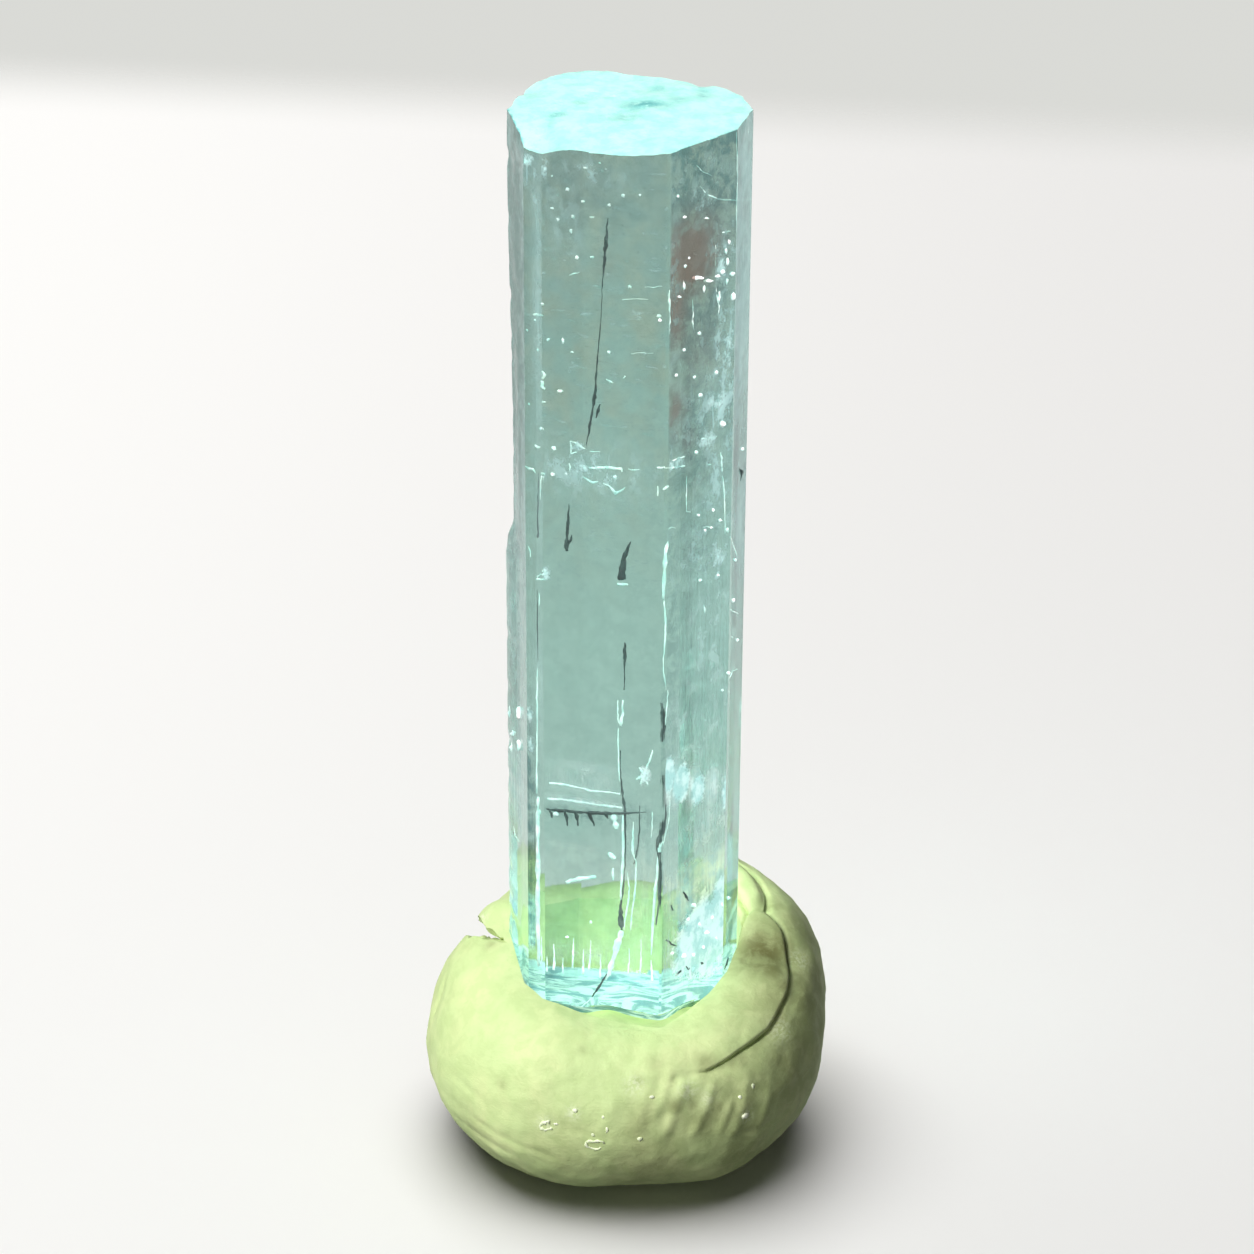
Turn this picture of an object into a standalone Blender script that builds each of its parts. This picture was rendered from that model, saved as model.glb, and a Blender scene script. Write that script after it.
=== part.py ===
"""An aquamarine crystal standing in a ball of mounting putty.

The crystal is a hexagonal prism of clear beryl with narrow facets along its six edges, a rough
broken top and a broken foot. The putty was pressed up around the foot from behind and from both
sides, and it stands lower in front, where the foot shows. The object stands on z = 0, with its
origin in the middle of its box. A heading is an angle in degrees round from the front (-Y)
towards +X.
"""
import math

import bmesh
import bpy
from mathutils import Vector, noise

MM = 0.001

# From the crystal's axis, about which both pieces are shaped, to the middle of the object's box.
BOX_SHIFT = Vector((0.07, -0.155, 0.0)) * MM

# The crystal, about its own axis.
CRYSTAL_FOOT = 13.2 * MM
CRYSTAL_TOP = 83.6 * MM
CRYSTAL_LEAN = 0.3  # degrees, towards +X
CRYSTAL_BLANK = 20.0 * MM
CRYSTAL_CELLS = 20
# The heading of each prism face, and how far the face is from the crystal's axis.
PRISM_FACES = (
    (-16, 7.3 * MM),
    (14, 8.6 * MM),
    (44, 7.7 * MM),
    (74, 8.0 * MM),
    (104, 8.27 * MM),
    (134, 7.95 * MM),
    (164, 7.3 * MM),
    (194, 8.45 * MM),
    (224, 8.3 * MM),
    (254, 8.55 * MM),
    (284, 8.35 * MM),
    (314, 8.5 * MM),
)
# Humps (+) and hollows (-) of the broken top: x, y, rise and spread.
TOP_RELIEF = (
    (-5.0 * MM, 6.0 * MM, 0.40 * MM, 4.0 * MM),
    (-7.0 * MM, -5.2 * MM, -1.05 * MM, 2.6 * MM),
    (-1.6 * MM, -7.6 * MM, -0.50 * MM, 3.2 * MM),
    (5.0 * MM, 6.3 * MM, -0.40 * MM, 0.9 * MM),
    (3.0 * MM, 1.0 * MM, 0.25 * MM, 3.0 * MM),
)
TOP_GRAIN = 0.16 * MM
TOP_GRAIN_SIZE = 2.2 * MM
# The broken foot slopes down towards the back, and its rim is knocked off.
FOOT_SLOPE = 0.12
FOOT_RIM_WORN = 0.4 * MM
FOOT_GRAIN = 0.4 * MM
FOOT_GRAIN_SIZE = 3.0 * MM
# The growth step on the left side: the crystal is wider below it.
STEP_HEADING = 276
STEP_REACH = 42
STEP_HEIGHT = 50.5 * MM
STEP_DEPTH = 1.2 * MM
STEP_OUT = 0.32 * MM
# Heights in mm at which the sides have a row of corners.
SIDE_LEVELS = (16.2, 34.0, 49.9, 51.1, 68.0)

# The putty, about the same axis.
PUTTY_SEGMENTS = 108
PUTTY_RINGS = 34
# Its corners crowd together round this heading, where the fold and the ridges are.
CROWD_HEADING = 50
CROWD_PULL = 22
PUTTY_GAP = 0.35 * MM
# Its shape in mm at every 45 degrees of heading: front, front right, right and so on round.
BULGE_RADIUS = (13.8, 15.1, 15.65, 15.5, 14.2, 14.2, 15.7, 15.0)
BULGE_HEIGHT = (6.6, 8.2, 10.6, 11.0, 10.4, 9.2, 7.6, 6.8)
CREST_RADIUS = (8.6, 9.2, 9.8, 9.6, 9.2, 9.3, 9.0, 9.2)
CREST_HEIGHT = (13.8, 14.9, 18.1, 19.8, 19.2, 18.0, 16.8, 14.8)
BASE_RADIUS = (7.0, 7.2, 8.6, 8.8, 8.6, 8.8, 9.4, 8.5)
SOCKET_HEIGHT = (14.0, 14.1, 15.4, 19.3, 19.0, 17.8, 16.2, 14.6)
# How the length of a section is shared out, from the socket's middle to the middle of the base.
SOCKET_SHARE = 0.10
CREST_SHARE = 0.22
BULGE_SHARE = 0.58
BASE_SHARE = 0.90
SOCKET_RADIUS = 7.0 * MM
BASE_DIP = 0.5 * MM
# The long fold on the right: its heading and height. The inner layer stands proud above it.
FOLD = ((22, 11.9), (30, 12.4), (40, 12.8), (53, 13.4), (68, 14.9), (84, 16.9), (97, 18.4), (135, 19.7))
FOLD_DEPTH = 0.55 * MM
FOLD_WIDTH = 0.75 * MM
FOLD_LIP = 0.35 * MM
FOLD_LIP_WIDTH = 2.4 * MM
FOLD_FADE = 8
# The ring of the mesh that follows the fold, and the rings between which it is free to move.
FOLD_RING = 13
FOLD_RING_TOP = 3
FOLD_RING_LOW = 20
# Ridges left by fingers, low on the front right.
RIDGE_STEP = 9.5
RIDGE_LEAN = 1650.0  # degrees of heading for each metre of height
RIDGE_DEPTH = 0.16 * MM
RIDGE_HEADING = 26
RIDGE_REACH = 24
RIDGE_HEIGHT = 9.0 * MM
RIDGE_RISE = 3.6 * MM
# Soft lumps (+) and dents (-) of the putty: heading, height, rise and spread.
PUTTY_RELIEF = (
    (78, 17.0 * MM, -0.45 * MM, 1.6 * MM),
    (252, 17.3 * MM, 0.75 * MM, 1.7 * MM),
    (243, 13.6 * MM, -1.3 * MM, 2.6 * MM),
    (274, 12.0 * MM, -0.2 * MM, 1.6 * MM),
    (150, 14.0 * MM, -0.5 * MM, 4.0 * MM),
    (205, 11.0 * MM, 0.3 * MM, 4.0 * MM),
    (330, 9.0 * MM, 0.15 * MM, 4.0 * MM),
)
PUTTY_GRAIN = 0.3 * MM
PUTTY_GRAIN_SIZE = 6.0 * MM
# The torn notch on the left: a wedge from its closed edge to an open one, which runs back and down.
NOTCH_START = Vector((-10.2, -1.5, 18.0)) * MM
NOTCH_UPPER = Vector((-2.5, 1.0, 1.7)) * MM
NOTCH_LOWER = Vector((-3.3, 0.1, 0.1)) * MM
NOTCH_RUN = Vector((0.3, 13.0, -8.0)) * MM


def clear_scene():
    """Remove everything that the scene holds."""
    for thing in list(bpy.data.objects):
        bpy.data.objects.remove(thing, do_unlink=True)


def heading_vector(degrees):
    """The level unit vector of a heading."""
    turn = math.radians(degrees)
    return Vector((math.sin(turn), -math.cos(turn), 0.0))


def heading_of(point):
    """The heading of a point about the z axis, from 0 to 360."""
    return math.degrees(math.atan2(point.x, -point.y)) % 360.0


def turn_between(first, second):
    """The angle from one heading to another, from -180 to 180."""
    return (first - second + 180.0) % 360.0 - 180.0


def smoothstep(low, high, value):
    """Rise from 0 at low to 1 at high."""
    part = min(1.0, max(0.0, (value - low) / (high - low)))
    return part * part * (3 - 2 * part)


def around(values, degrees):
    """Read a smooth closed curve through millimetre values spaced evenly round the headings."""
    place = (degrees % 360.0) / 360.0 * len(values)
    first = int(place)
    part = place - first
    before, start, end, after = (values[(first + step) % len(values)] for step in (-1, 0, 1, 2))
    value = start + (end - start) * part * part * (3 - 2 * part)
    value += (end - before) / 2 * part * (1 - part) ** 2
    value -= (after - start) / 2 * part * part * (1 - part)
    return value * MM


def along(points, degrees):
    """Read a millimetre height from a row of points, heading by heading."""
    for (first, low), (second, high) in zip(points, points[1:]):
        if degrees <= second:
            part = max(0.0, (degrees - first) / (second - first))
            return (low + (high - low) * part) * MM
    return points[-1][1] * MM


def all_geometry(mesh):
    """The corners, edges and faces of a bmesh."""
    return mesh.verts[:] + mesh.edges[:] + mesh.faces[:]


def add_object(name, mesh):
    """Make an object of a bmesh, placed about the middle of the object's box."""
    bmesh.ops.translate(mesh, vec=BOX_SHIFT, verts=mesh.verts)
    bmesh.ops.recalc_face_normals(mesh, faces=mesh.faces)
    data = bpy.data.meshes.new(name)
    mesh.to_mesh(data)
    mesh.free()
    piece = bpy.data.objects.new(name, data)
    bpy.context.scene.collection.objects.link(piece)
    return piece


def add_material(piece, colour, roughness, transmission=0.0, ior=1.5):
    """Give a piece its own material."""
    material = bpy.data.materials.new(piece.name)
    material.use_nodes = True
    shader = material.node_tree.nodes["Principled BSDF"]
    shader.inputs["Base Color"].default_value = (*colour, 1.0)
    shader.inputs["Roughness"].default_value = roughness
    shader.inputs["Metallic"].default_value = 0.0
    shader.inputs["Transmission Weight"].default_value = transmission
    shader.inputs["IOR"].default_value = ior
    piece.data.materials.append(material)


def cut_away(piece, cutter):
    """Cut a hidden object's shape out of a piece."""
    cutter.hide_render = True
    cutter.display_type = "WIRE"
    cut = piece.modifiers.new(cutter.name, "BOOLEAN")
    cut.operation = "DIFFERENCE"
    cut.solver = "EXACT"
    cut.object = cutter


def top_relief(x, y):
    """How far the broken top stands above or below its mean height."""
    height = TOP_GRAIN * noise.noise(Vector((x, y, 0.0)) / TOP_GRAIN_SIZE)
    for centre_x, centre_y, rise, spread in TOP_RELIEF:
        away = ((x - centre_x) ** 2 + (y - centre_y) ** 2) / spread ** 2
        height += rise * math.exp(-away)
    return height


def side_relief(point):
    """How far the side stands out beyond the prism's faces: the growth step and the worn rim."""
    facing = 1 - abs(turn_between(heading_of(point), STEP_HEADING)) / STEP_REACH
    below = smoothstep(STEP_HEIGHT + STEP_DEPTH / 2, STEP_HEIGHT - STEP_DEPTH / 2, point.z)
    out = STEP_OUT * smoothstep(0.0, 0.3, facing) * below
    if point.z < CRYSTAL_FOOT + MM:
        out -= FOOT_RIM_WORN + FOOT_GRAIN * foot_grain(point)
    return out


def foot_grain(point):
    """The uneven break of the foot, from about -1 to 1."""
    return noise.noise(Vector((point.x, point.y, 0.0)) / FOOT_GRAIN_SIZE)


def cut_prism(clearance):
    """Cut a gridded sheet to the outline of the prism, and pull it up to a solid."""
    mesh = bmesh.new()
    bmesh.ops.create_grid(
        mesh, x_segments=CRYSTAL_CELLS, y_segments=CRYSTAL_CELLS, size=CRYSTAL_BLANK / 2
    )
    for degrees, distance in PRISM_FACES:
        outward = heading_vector(degrees)
        bmesh.ops.bisect_plane(
            mesh,
            geom=all_geometry(mesh),
            dist=1e-6,
            plane_co=outward * (distance + clearance),
            plane_no=outward,
            clear_outer=True,
        )
    bmesh.ops.remove_doubles(mesh, verts=mesh.verts, dist=0.1 * MM)
    bmesh.ops.translate(mesh, vec=(0, 0, CRYSTAL_FOOT), verts=mesh.verts)
    pulled = bmesh.ops.extrude_face_region(mesh, geom=mesh.faces[:])
    top = [item for item in pulled["geom"] if isinstance(item, bmesh.types.BMVert)]
    bmesh.ops.translate(mesh, vec=(0, 0, CRYSTAL_TOP - CRYSTAL_FOOT), verts=top)
    for level in SIDE_LEVELS:
        bmesh.ops.bisect_plane(
            mesh,
            geom=all_geometry(mesh),
            dist=1e-6,
            plane_co=(0, 0, level * MM),
            plane_no=(0, 0, 1),
        )
    return mesh


def crystal_mesh(clearance=0.0):
    """The crystal with its broken ends and its growth step, or its socket at a clearance."""
    mesh = cut_prism(clearance)
    for corner in mesh.verts:
        place = corner.co.copy()
        radius = math.hypot(place.x, place.y)
        if place.z > CRYSTAL_TOP - MM:
            corner.co.z += top_relief(place.x, place.y)
        else:
            corner.co += Vector((place.x, place.y, 0)) * (side_relief(place) / max(radius, MM))
        if place.z < CRYSTAL_FOOT + MM:
            corner.co.z += FOOT_GRAIN * foot_grain(place) - FOOT_SLOPE * place.y - clearance
        corner.co.x += math.tan(math.radians(CRYSTAL_LEAN)) * (place.z - CRYSTAL_FOOT)
    return mesh


def make_crystal():
    """The crystal, one closed solid."""
    crystal = add_object("crystal", crystal_mesh())
    add_material(crystal, (0.42, 0.78, 0.70), 0.05, 1.0, 1.577)


def putty_section(degrees, share):
    """Radius and height of the smooth putty at a heading, from the socket to the base."""
    bulge = around(BULGE_RADIUS, degrees)
    bulge_height = around(BULGE_HEIGHT, degrees)
    crest = around(CREST_RADIUS, degrees)
    crest_height = around(CREST_HEIGHT, degrees)
    socket_height = around(SOCKET_HEIGHT, degrees)
    base = around(BASE_RADIUS, degrees)
    if share < SOCKET_SHARE:
        part = share / SOCKET_SHARE
        middle = CRYSTAL_FOOT + 3 * MM
        return SOCKET_RADIUS * part, socket_height + (middle - socket_height) * (1 - part) ** 2
    if share < CREST_SHARE:
        part = (share - SOCKET_SHARE) / (CREST_SHARE - SOCKET_SHARE)
        rise = math.sin(part * math.pi / 2)
        radius = SOCKET_RADIUS + (crest - SOCKET_RADIUS) * part
        return radius, socket_height + (crest_height - socket_height) * rise
    if share < BULGE_SHARE:
        turn = (share - CREST_SHARE) / (BULGE_SHARE - CREST_SHARE) * math.pi / 2
        radius = crest + (bulge - crest) * math.sin(turn)
        return radius, bulge_height + (crest_height - bulge_height) * math.cos(turn)
    if share < BASE_SHARE:
        turn = (share - BULGE_SHARE) / (BASE_SHARE - BULGE_SHARE) * math.pi / 2
        return base + (bulge - base) * math.cos(turn), bulge_height * (1 - math.sin(turn))
    part = (share - BASE_SHARE) / (1 - BASE_SHARE)
    return base * (1 - part), -BASE_DIP * part


def fold_strength(degrees):
    """1 along the fold, fading to 0 past its two ends."""
    start = smoothstep(FOLD[0][0] - FOLD_FADE, FOLD[0][0] + FOLD_FADE, degrees)
    return start * smoothstep(FOLD[-1][0] + FOLD_FADE, FOLD[-1][0] - FOLD_FADE, degrees)


def follow_fold(degrees, share):
    """Slide the rings of the mesh along their sections, so that one ring follows the fold."""
    strength = fold_strength(degrees)
    top, ring, low = (count / PUTTY_RINGS for count in (FOLD_RING_TOP, FOLD_RING, FOLD_RING_LOW))
    if strength == 0 or not top < share < low:
        return share
    crest_height = around(CREST_HEIGHT, degrees)
    bulge_height = around(BULGE_HEIGHT, degrees)
    rise = (along(FOLD, degrees) - bulge_height) / (crest_height - bulge_height)
    turn = math.acos(max(-1.0, min(1.0, rise))) / (math.pi / 2)
    target = CREST_SHARE + (BULGE_SHARE - CREST_SHARE) * turn
    if share < ring:
        moved = top + (share - top) / (ring - top) * (target - top)
    else:
        moved = low + (share - low) / (ring - low) * (target - low)
    return share + (moved - share) * strength


def fold_relief(degrees, height):
    """The fold: a crease, with the layer above it standing proud."""
    above = height - along(FOLD, degrees)
    relief = -FOLD_DEPTH * math.exp(-((above / FOLD_WIDTH) ** 2))
    if above > 0:
        relief += FOLD_LIP * math.exp(-((above / FOLD_LIP_WIDTH) ** 2))
    return relief * fold_strength(degrees)


def ridge_relief(degrees, height):
    """The finger ridges, which lean to the right."""
    side = abs(turn_between(degrees, RIDGE_HEADING)) / RIDGE_REACH
    level = abs(height - RIDGE_HEIGHT) / RIDGE_RISE
    window = smoothstep(1.0, 0.6, side) * smoothstep(1.0, 0.5, level)
    wave = (degrees - RIDGE_LEAN * (height - RIDGE_HEIGHT)) / RIDGE_STEP
    return RIDGE_DEPTH * window * math.sin(wave * 2 * math.pi)


def putty_relief(degrees, radius, height, point):
    """How far the pressed surface stands out beyond the smooth one."""
    out = PUTTY_GRAIN * noise.noise(point / PUTTY_GRAIN_SIZE)
    out += fold_relief(degrees, height) + ridge_relief(degrees, height)
    for heading, centre, rise, spread in PUTTY_RELIEF:
        across = math.radians(turn_between(degrees, heading)) * radius
        out += rise * math.exp(-(across ** 2 + (height - centre) ** 2) / spread ** 2)
    return out


def putty_mesh():
    """The ball of putty: a sphere drawn to the shape of its sections."""
    mesh = bmesh.new()
    bmesh.ops.create_uvsphere(mesh, u_segments=PUTTY_SEGMENTS, v_segments=PUTTY_RINGS, radius=1.0)
    smooth = {}
    for corner in mesh.verts:
        even = heading_of(corner.co)
        degrees = even - CROWD_PULL * math.sin(math.radians(even - CROWD_HEADING))
        share = math.acos(max(-1.0, min(1.0, corner.co.z))) / math.pi
        degrees %= 360.0
        radius, height = putty_section(degrees, follow_fold(degrees, share))
        smooth[corner] = (degrees, radius, height)
        corner.co = heading_vector(degrees) * radius + Vector((0, 0, height))
    mesh.normal_update()
    moves = {}
    for corner, (degrees, radius, height) in smooth.items():
        settled = smoothstep(0.0, 2.0 * MM, height) * smoothstep(6.5 * MM, 9.0 * MM, radius)
        moves[corner] = corner.normal * (putty_relief(degrees, radius, height, corner.co) * settled)
    for corner, move in moves.items():
        corner.co += move
    bmesh.ops.bisect_plane(
        mesh,
        geom=all_geometry(mesh),
        dist=1e-6,
        plane_co=(0, 0, 0),
        plane_no=(0, 0, -1),
        clear_outer=True,
    )
    rim = [edge for edge in mesh.edges if edge.is_boundary]
    bmesh.ops.contextual_create(mesh, geom=rim)
    return mesh


def notch_mesh():
    """The wedge that the torn notch takes away."""
    mesh = bmesh.new()
    corners = [mesh.verts.new(NOTCH_START + step) for step in (Vector(), NOTCH_UPPER, NOTCH_LOWER)]
    end = mesh.faces.new(corners)
    pulled = bmesh.ops.extrude_face_region(mesh, geom=[end])
    far = [item for item in pulled["geom"] if isinstance(item, bmesh.types.BMVert)]
    bmesh.ops.translate(mesh, vec=NOTCH_RUN, verts=far)
    return mesh


def make_putty():
    """The putty, one closed solid with a socket the shape of the crystal's foot."""
    putty = add_object("putty", putty_mesh())
    cut_away(putty, add_object("socket_cutter", crystal_mesh(PUTTY_GAP)))
    cut_away(putty, add_object("notch_cutter", notch_mesh()))
    add_material(putty, (0.62, 0.78, 0.32), 0.6)


def main():
    clear_scene()
    make_crystal()
    make_putty()


main()
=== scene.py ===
# %% [markdown]
# # An aquamarine crystal standing in a ball of putty
#
# The object has two pieces. A long six-sided prism of sea-blue beryl, broken at both ends,
# stands upright in a ball of yellow-green mounting putty. Collectors press a crystal into such a
# ball so that it can be looked at from all sides. Both pieces are made here in mesh code over a
# packed CAD frame, which gives their size and place. Each step is a cell, and each says what the
# real thing is, how it could be made and why this way was chosen.

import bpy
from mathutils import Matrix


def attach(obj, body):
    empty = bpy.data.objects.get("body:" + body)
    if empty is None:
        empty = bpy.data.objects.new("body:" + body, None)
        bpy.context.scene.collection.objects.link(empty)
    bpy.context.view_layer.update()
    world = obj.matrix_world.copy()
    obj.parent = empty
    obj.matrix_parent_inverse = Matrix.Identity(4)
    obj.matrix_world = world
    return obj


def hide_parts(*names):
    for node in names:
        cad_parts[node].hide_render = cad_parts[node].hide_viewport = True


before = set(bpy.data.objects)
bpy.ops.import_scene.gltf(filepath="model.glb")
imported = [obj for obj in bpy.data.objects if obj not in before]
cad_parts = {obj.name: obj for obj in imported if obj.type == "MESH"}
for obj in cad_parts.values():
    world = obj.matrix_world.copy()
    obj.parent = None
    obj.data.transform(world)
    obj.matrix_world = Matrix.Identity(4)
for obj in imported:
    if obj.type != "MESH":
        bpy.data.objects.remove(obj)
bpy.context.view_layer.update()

# %% [markdown]
# ## Units, headings and curves
#
# Every length is in metres, so a length in millimetres is written as a number times MM. A place
# round the crystal is given by its heading: an angle in degrees from the front (-Y) towards +X.
# The two curve readers turn a short row of measured values into a smooth profile, which is how a
# hand-pressed shape can be described with a few numbers.

# %% Helpers for lengths, headings and curves
import math
import random

import bmesh
import bpy
from mathutils import Vector, noise
from mathutils.bvhtree import BVHTree

# Without a seed, noise_vector gives other values in every run.
NOISE_SEED = 6
noise.seed_set(NOISE_SEED)
MM = 0.001
# From the crystal's axis, about which both pieces are shaped, to the middle of the object's box.
BOX_SHIFT = Vector((0.07, -0.155, 0.0)) * MM


def heading_vector(degrees):
    """The level unit vector of a heading."""
    turn = math.radians(degrees)
    return Vector((math.sin(turn), -math.cos(turn), 0.0))


def heading_of(point):
    """The heading of a point about the z axis, from 0 to 360."""
    return math.degrees(math.atan2(point.x, -point.y)) % 360.0


def turn_between(first, second):
    """The angle from one heading to another, from -180 to 180."""
    return (first - second + 180.0) % 360.0 - 180.0


def smoothstep(low, high, value):
    """Rise from 0 at low to 1 at high."""
    part = min(1.0, max(0.0, (value - low) / (high - low)))
    return part * part * (3 - 2 * part)


def around(values, degrees):
    """Read a smooth closed curve through millimetre values spaced evenly round the headings."""
    place = (degrees % 360.0) / 360.0 * len(values)
    first = int(place)
    part = place - first
    before, start, end, after = (values[(first + step) % len(values)] for step in (-1, 0, 1, 2))
    value = start + (end - start) * part * part * (3 - 2 * part)
    value += (end - before) / 2 * part * (1 - part) ** 2
    value -= (after - start) / 2 * part * part * (1 - part)
    return value * MM


def along(points, degrees):
    """Read a millimetre height from a row of points, heading by heading."""
    for (first, low), (second, high) in zip(points, points[1:]):
        if degrees <= second:
            part = max(0.0, (degrees - first) / (second - first))
            return (low + (high - low) * part) * MM
    return points[-1][1] * MM


print("Front is", tuple(round(part, 1) for part in heading_vector(0)))

# %% [markdown]
# ## The camera
#
# The camera looks down at the crystal at 27 degrees from straight in front. It stands rather
# close, so the prism narrows towards its foot, and a long lens keeps the upright edges straight.
# Some small marks are easiest to place by where the camera sees them, so pixel_ray turns a
# column and a row of its picture into a direction.

# %% Place the camera
CAMERA_PLACE = Vector((0.07, -265.155, 178.5)) * MM
CAMERA_PITCH = 27.0
CAMERA_LENS = 115.55
CAMERA_CLIP = 10 * MM
SENSOR_WIDTH = 36.0
PICTURE_SIZE = 1254
# How many pixels wide a thing is that is as wide as it is far away.
FOCAL_PIXELS = CAMERA_LENS / SENSOR_WIDTH * PICTURE_SIZE

camera_data = bpy.data.cameras.new("camera")
camera_data.lens = CAMERA_LENS
camera_data.sensor_width = SENSOR_WIDTH
camera_data.clip_start = CAMERA_CLIP
camera = bpy.data.objects.new("camera", camera_data)
camera.location = CAMERA_PLACE
camera.rotation_euler = (math.radians(90.0 - CAMERA_PITCH), 0.0, 0.0)
bpy.context.scene.collection.objects.link(camera)
bpy.context.scene.camera = camera


def pixel_ray(column, row):
    """The unit vector along which the camera sees a pixel of its picture."""
    ray = Vector((column - PICTURE_SIZE / 2, PICTURE_SIZE / 2 - row, -FOCAL_PIXELS))
    ray.rotate(camera.rotation_euler)
    return ray.normalized()


print("Middle ray:", tuple(round(part, 2) for part in pixel_ray(627, 627)))

# %% [markdown]
# ## Materials as Python expressions
#
# A material is a small network of nodes. Wiring one by hand in code takes many lines, so two
# small helpers do it. A Wire is the output of a node, and Python's arithmetic on wires adds Math
# nodes. A Finish is a material, and its node method adds any other node from its type, its
# settings and the values or wires of its sockets.

# %% Define the wire and the finish
class Wire:
    """An output of a material's node, on which Python's arithmetic works."""

    def __init__(self, finish, socket):
        self.finish = finish
        self.socket = socket

    def maths(self, operation, *values):
        """Add a Math node on some values."""
        sockets = dict(enumerate(values))
        return self.finish.node("ShaderNodeMath", {"operation": operation}, sockets)

    def __add__(self, other):
        return self.maths("ADD", self, other)

    __radd__ = __add__

    def __mul__(self, other):
        return self.maths("MULTIPLY", self, other)

    __rmul__ = __mul__

    def __sub__(self, other):
        return self.maths("SUBTRACT", self, other)

    def __rsub__(self, other):
        return self.maths("SUBTRACT", other, self)

    def largest(self, other):
        """The larger of two values."""
        return self.maths("MAXIMUM", self, other)

    def vein(self, width):
        """Thin curved lines, where a noise passes through its middle value."""
        return 1 - self.maths("ABSOLUTE", self - 0.5).rise(0.0, width)

    def rise(self, low, high):
        """0 up to low, 1 from high on, and smooth between them."""
        settings = {"interpolation_type": "SMOOTHSTEP"}
        sockets = {"Value": self, "From Min": low, "From Max": high}
        return self.finish.node("ShaderNodeMapRange", settings, sockets)


class Finish:
    """A material that is built node by node."""

    def __init__(self, name):
        self.material = bpy.data.materials.new(name)
        self.material.use_nodes = True
        self.tree = self.material.node_tree
        self.tree.nodes.clear()
        self.place = self.node("ShaderNodeTexCoord", {}, {}, "Object")

    def node(self, kind, settings, sockets, output=0):
        """Add a node: its settings first, then the values or wires of its sockets."""
        node = self.tree.nodes.new(kind)
        for name, value in settings.items():
            if name == "stops":
                self.set_stops(node.color_ramp, value)
            else:
                setattr(node, name, value)
        for name, value in sockets.items():
            if isinstance(value, Wire):
                self.tree.links.new(value.socket, node.inputs[name])
            else:
                node.inputs[name].default_value = value
        return Wire(self, node.outputs[output]) if node.outputs else node

    def set_stops(self, ramp, stops):
        """Give a colour ramp its stops: (place, colour)."""
        while len(ramp.elements) < len(stops):
            ramp.elements.new(1.0)
        for element, (place, colour) in zip(ramp.elements, stops):
            element.position = place
            element.color = (*colour, 1.0)

    def noise(self, size, detail=3.0, roughness=0.6, distortion=0.0, squeeze=None):
        """Smooth random values, mostly from 0.3 to 0.7, with lumps of a size in metres.

        Below 1, a squeeze draws the lumps out along its axis.
        """
        place = self.place
        if squeeze:
            place = self.node("ShaderNodeMapping", {}, {"Vector": place, "Scale": squeeze})
        sockets = {"Vector": place, "Scale": 1.0 / size, "Detail": detail}
        sockets.update({"Roughness": roughness, "Distortion": distortion})
        return self.node("ShaderNodeTexNoise", {}, sockets)

    def ramp(self, stops, factor):
        """A colour that is read from stops, each a place and a colour."""
        return self.node("ShaderNodeValToRGB", {"stops": stops}, {0: factor})

    def attribute(self, name):
        """A value that was stored at the mesh's corners."""
        return self.node("ShaderNodeAttribute", {"attribute_name": name}, {}, "Fac")

    def mix(self, factor, first, second):
        """Go from the first colour to the second as the factor goes from 0 to 1."""
        node = self.tree.nodes.new("ShaderNodeMix")
        node.data_type = "RGBA"
        shown = {socket.name: socket for socket in node.inputs if socket.enabled}
        for name, value in (("Factor", factor), ("A", first), ("B", second)):
            if isinstance(value, Wire):
                self.tree.links.new(value.socket, shown[name])
            else:
                shown[name].default_value = value if name == "Factor" else (*value, 1.0)
        return Wire(self, next(socket for socket in node.outputs if socket.enabled))

    def bump(self, height, strength, distance, under=None):
        """A normal that follows a height. One bump can lie over another."""
        sockets = {"Height": height, "Strength": strength, "Distance": distance}
        if under:
            sockets["Normal"] = under
        return self.node("ShaderNodeBump", {}, sockets)

    def principled(self, **sockets):
        """A Principled shader. Underscores in the names stand for spaces."""
        named = {name.replace("_", " "): value for name, value in sockets.items()}
        named["Base Color"] = named.pop("colour")
        if not isinstance(named["Base Color"], Wire):
            named["Base Color"] = (*named["Base Color"], 1.0)
        return self.node("ShaderNodeBsdfPrincipled", {}, named)

    def shown(self, surface, volume=None):
        """Put a shader on the surface and perhaps one in the volume, and give the material."""
        sockets = {"Surface": surface}
        if volume:
            sockets["Volume"] = volume
        self.node("ShaderNodeOutputMaterial", {}, sockets)
        return self.material


print("A finish can make:", [name for name in vars(Finish) if not name.startswith("_")])

# %% [markdown]
# ## The table top and the backdrop
#
# A clear crystal shows whatever is behind it, so the pale table top and the backdrop matter as
# much to its look as its own surface. Both are plain, but for painted shade on the table top: it
# grows darker to the right, where the light falls off. They are big and bright, and would light
# the object from all sides and take away its shaded side, so diffuse rays don't see them, much
# as a photographer keeps stray light off with black cards.

# %% Make the stage
TABLE_RADIUS = 300 * MM
# The far edge of the table top: the way it faces, and how far off it fades out.
TABLE_EDGE_WAY = (0.146, 0.989, 0.0)
TABLE_FADE = (218 * MM, 244 * MM)
TABLE_LEFT_COLOUR = (0.90, 0.89, 0.87)
TABLE_RIGHT_COLOUR = (0.77, 0.76, 0.745)
# Painted shade: the table top grows darker to the right, where the light falls off. This is how
# far to each side of the middle its two colours blend.
TABLE_BLEND = 90 * MM
BACKDROP_RADIUS = 3.0
BACKDROP_COLOUR = (0.70, 0.705, 0.675)


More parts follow.
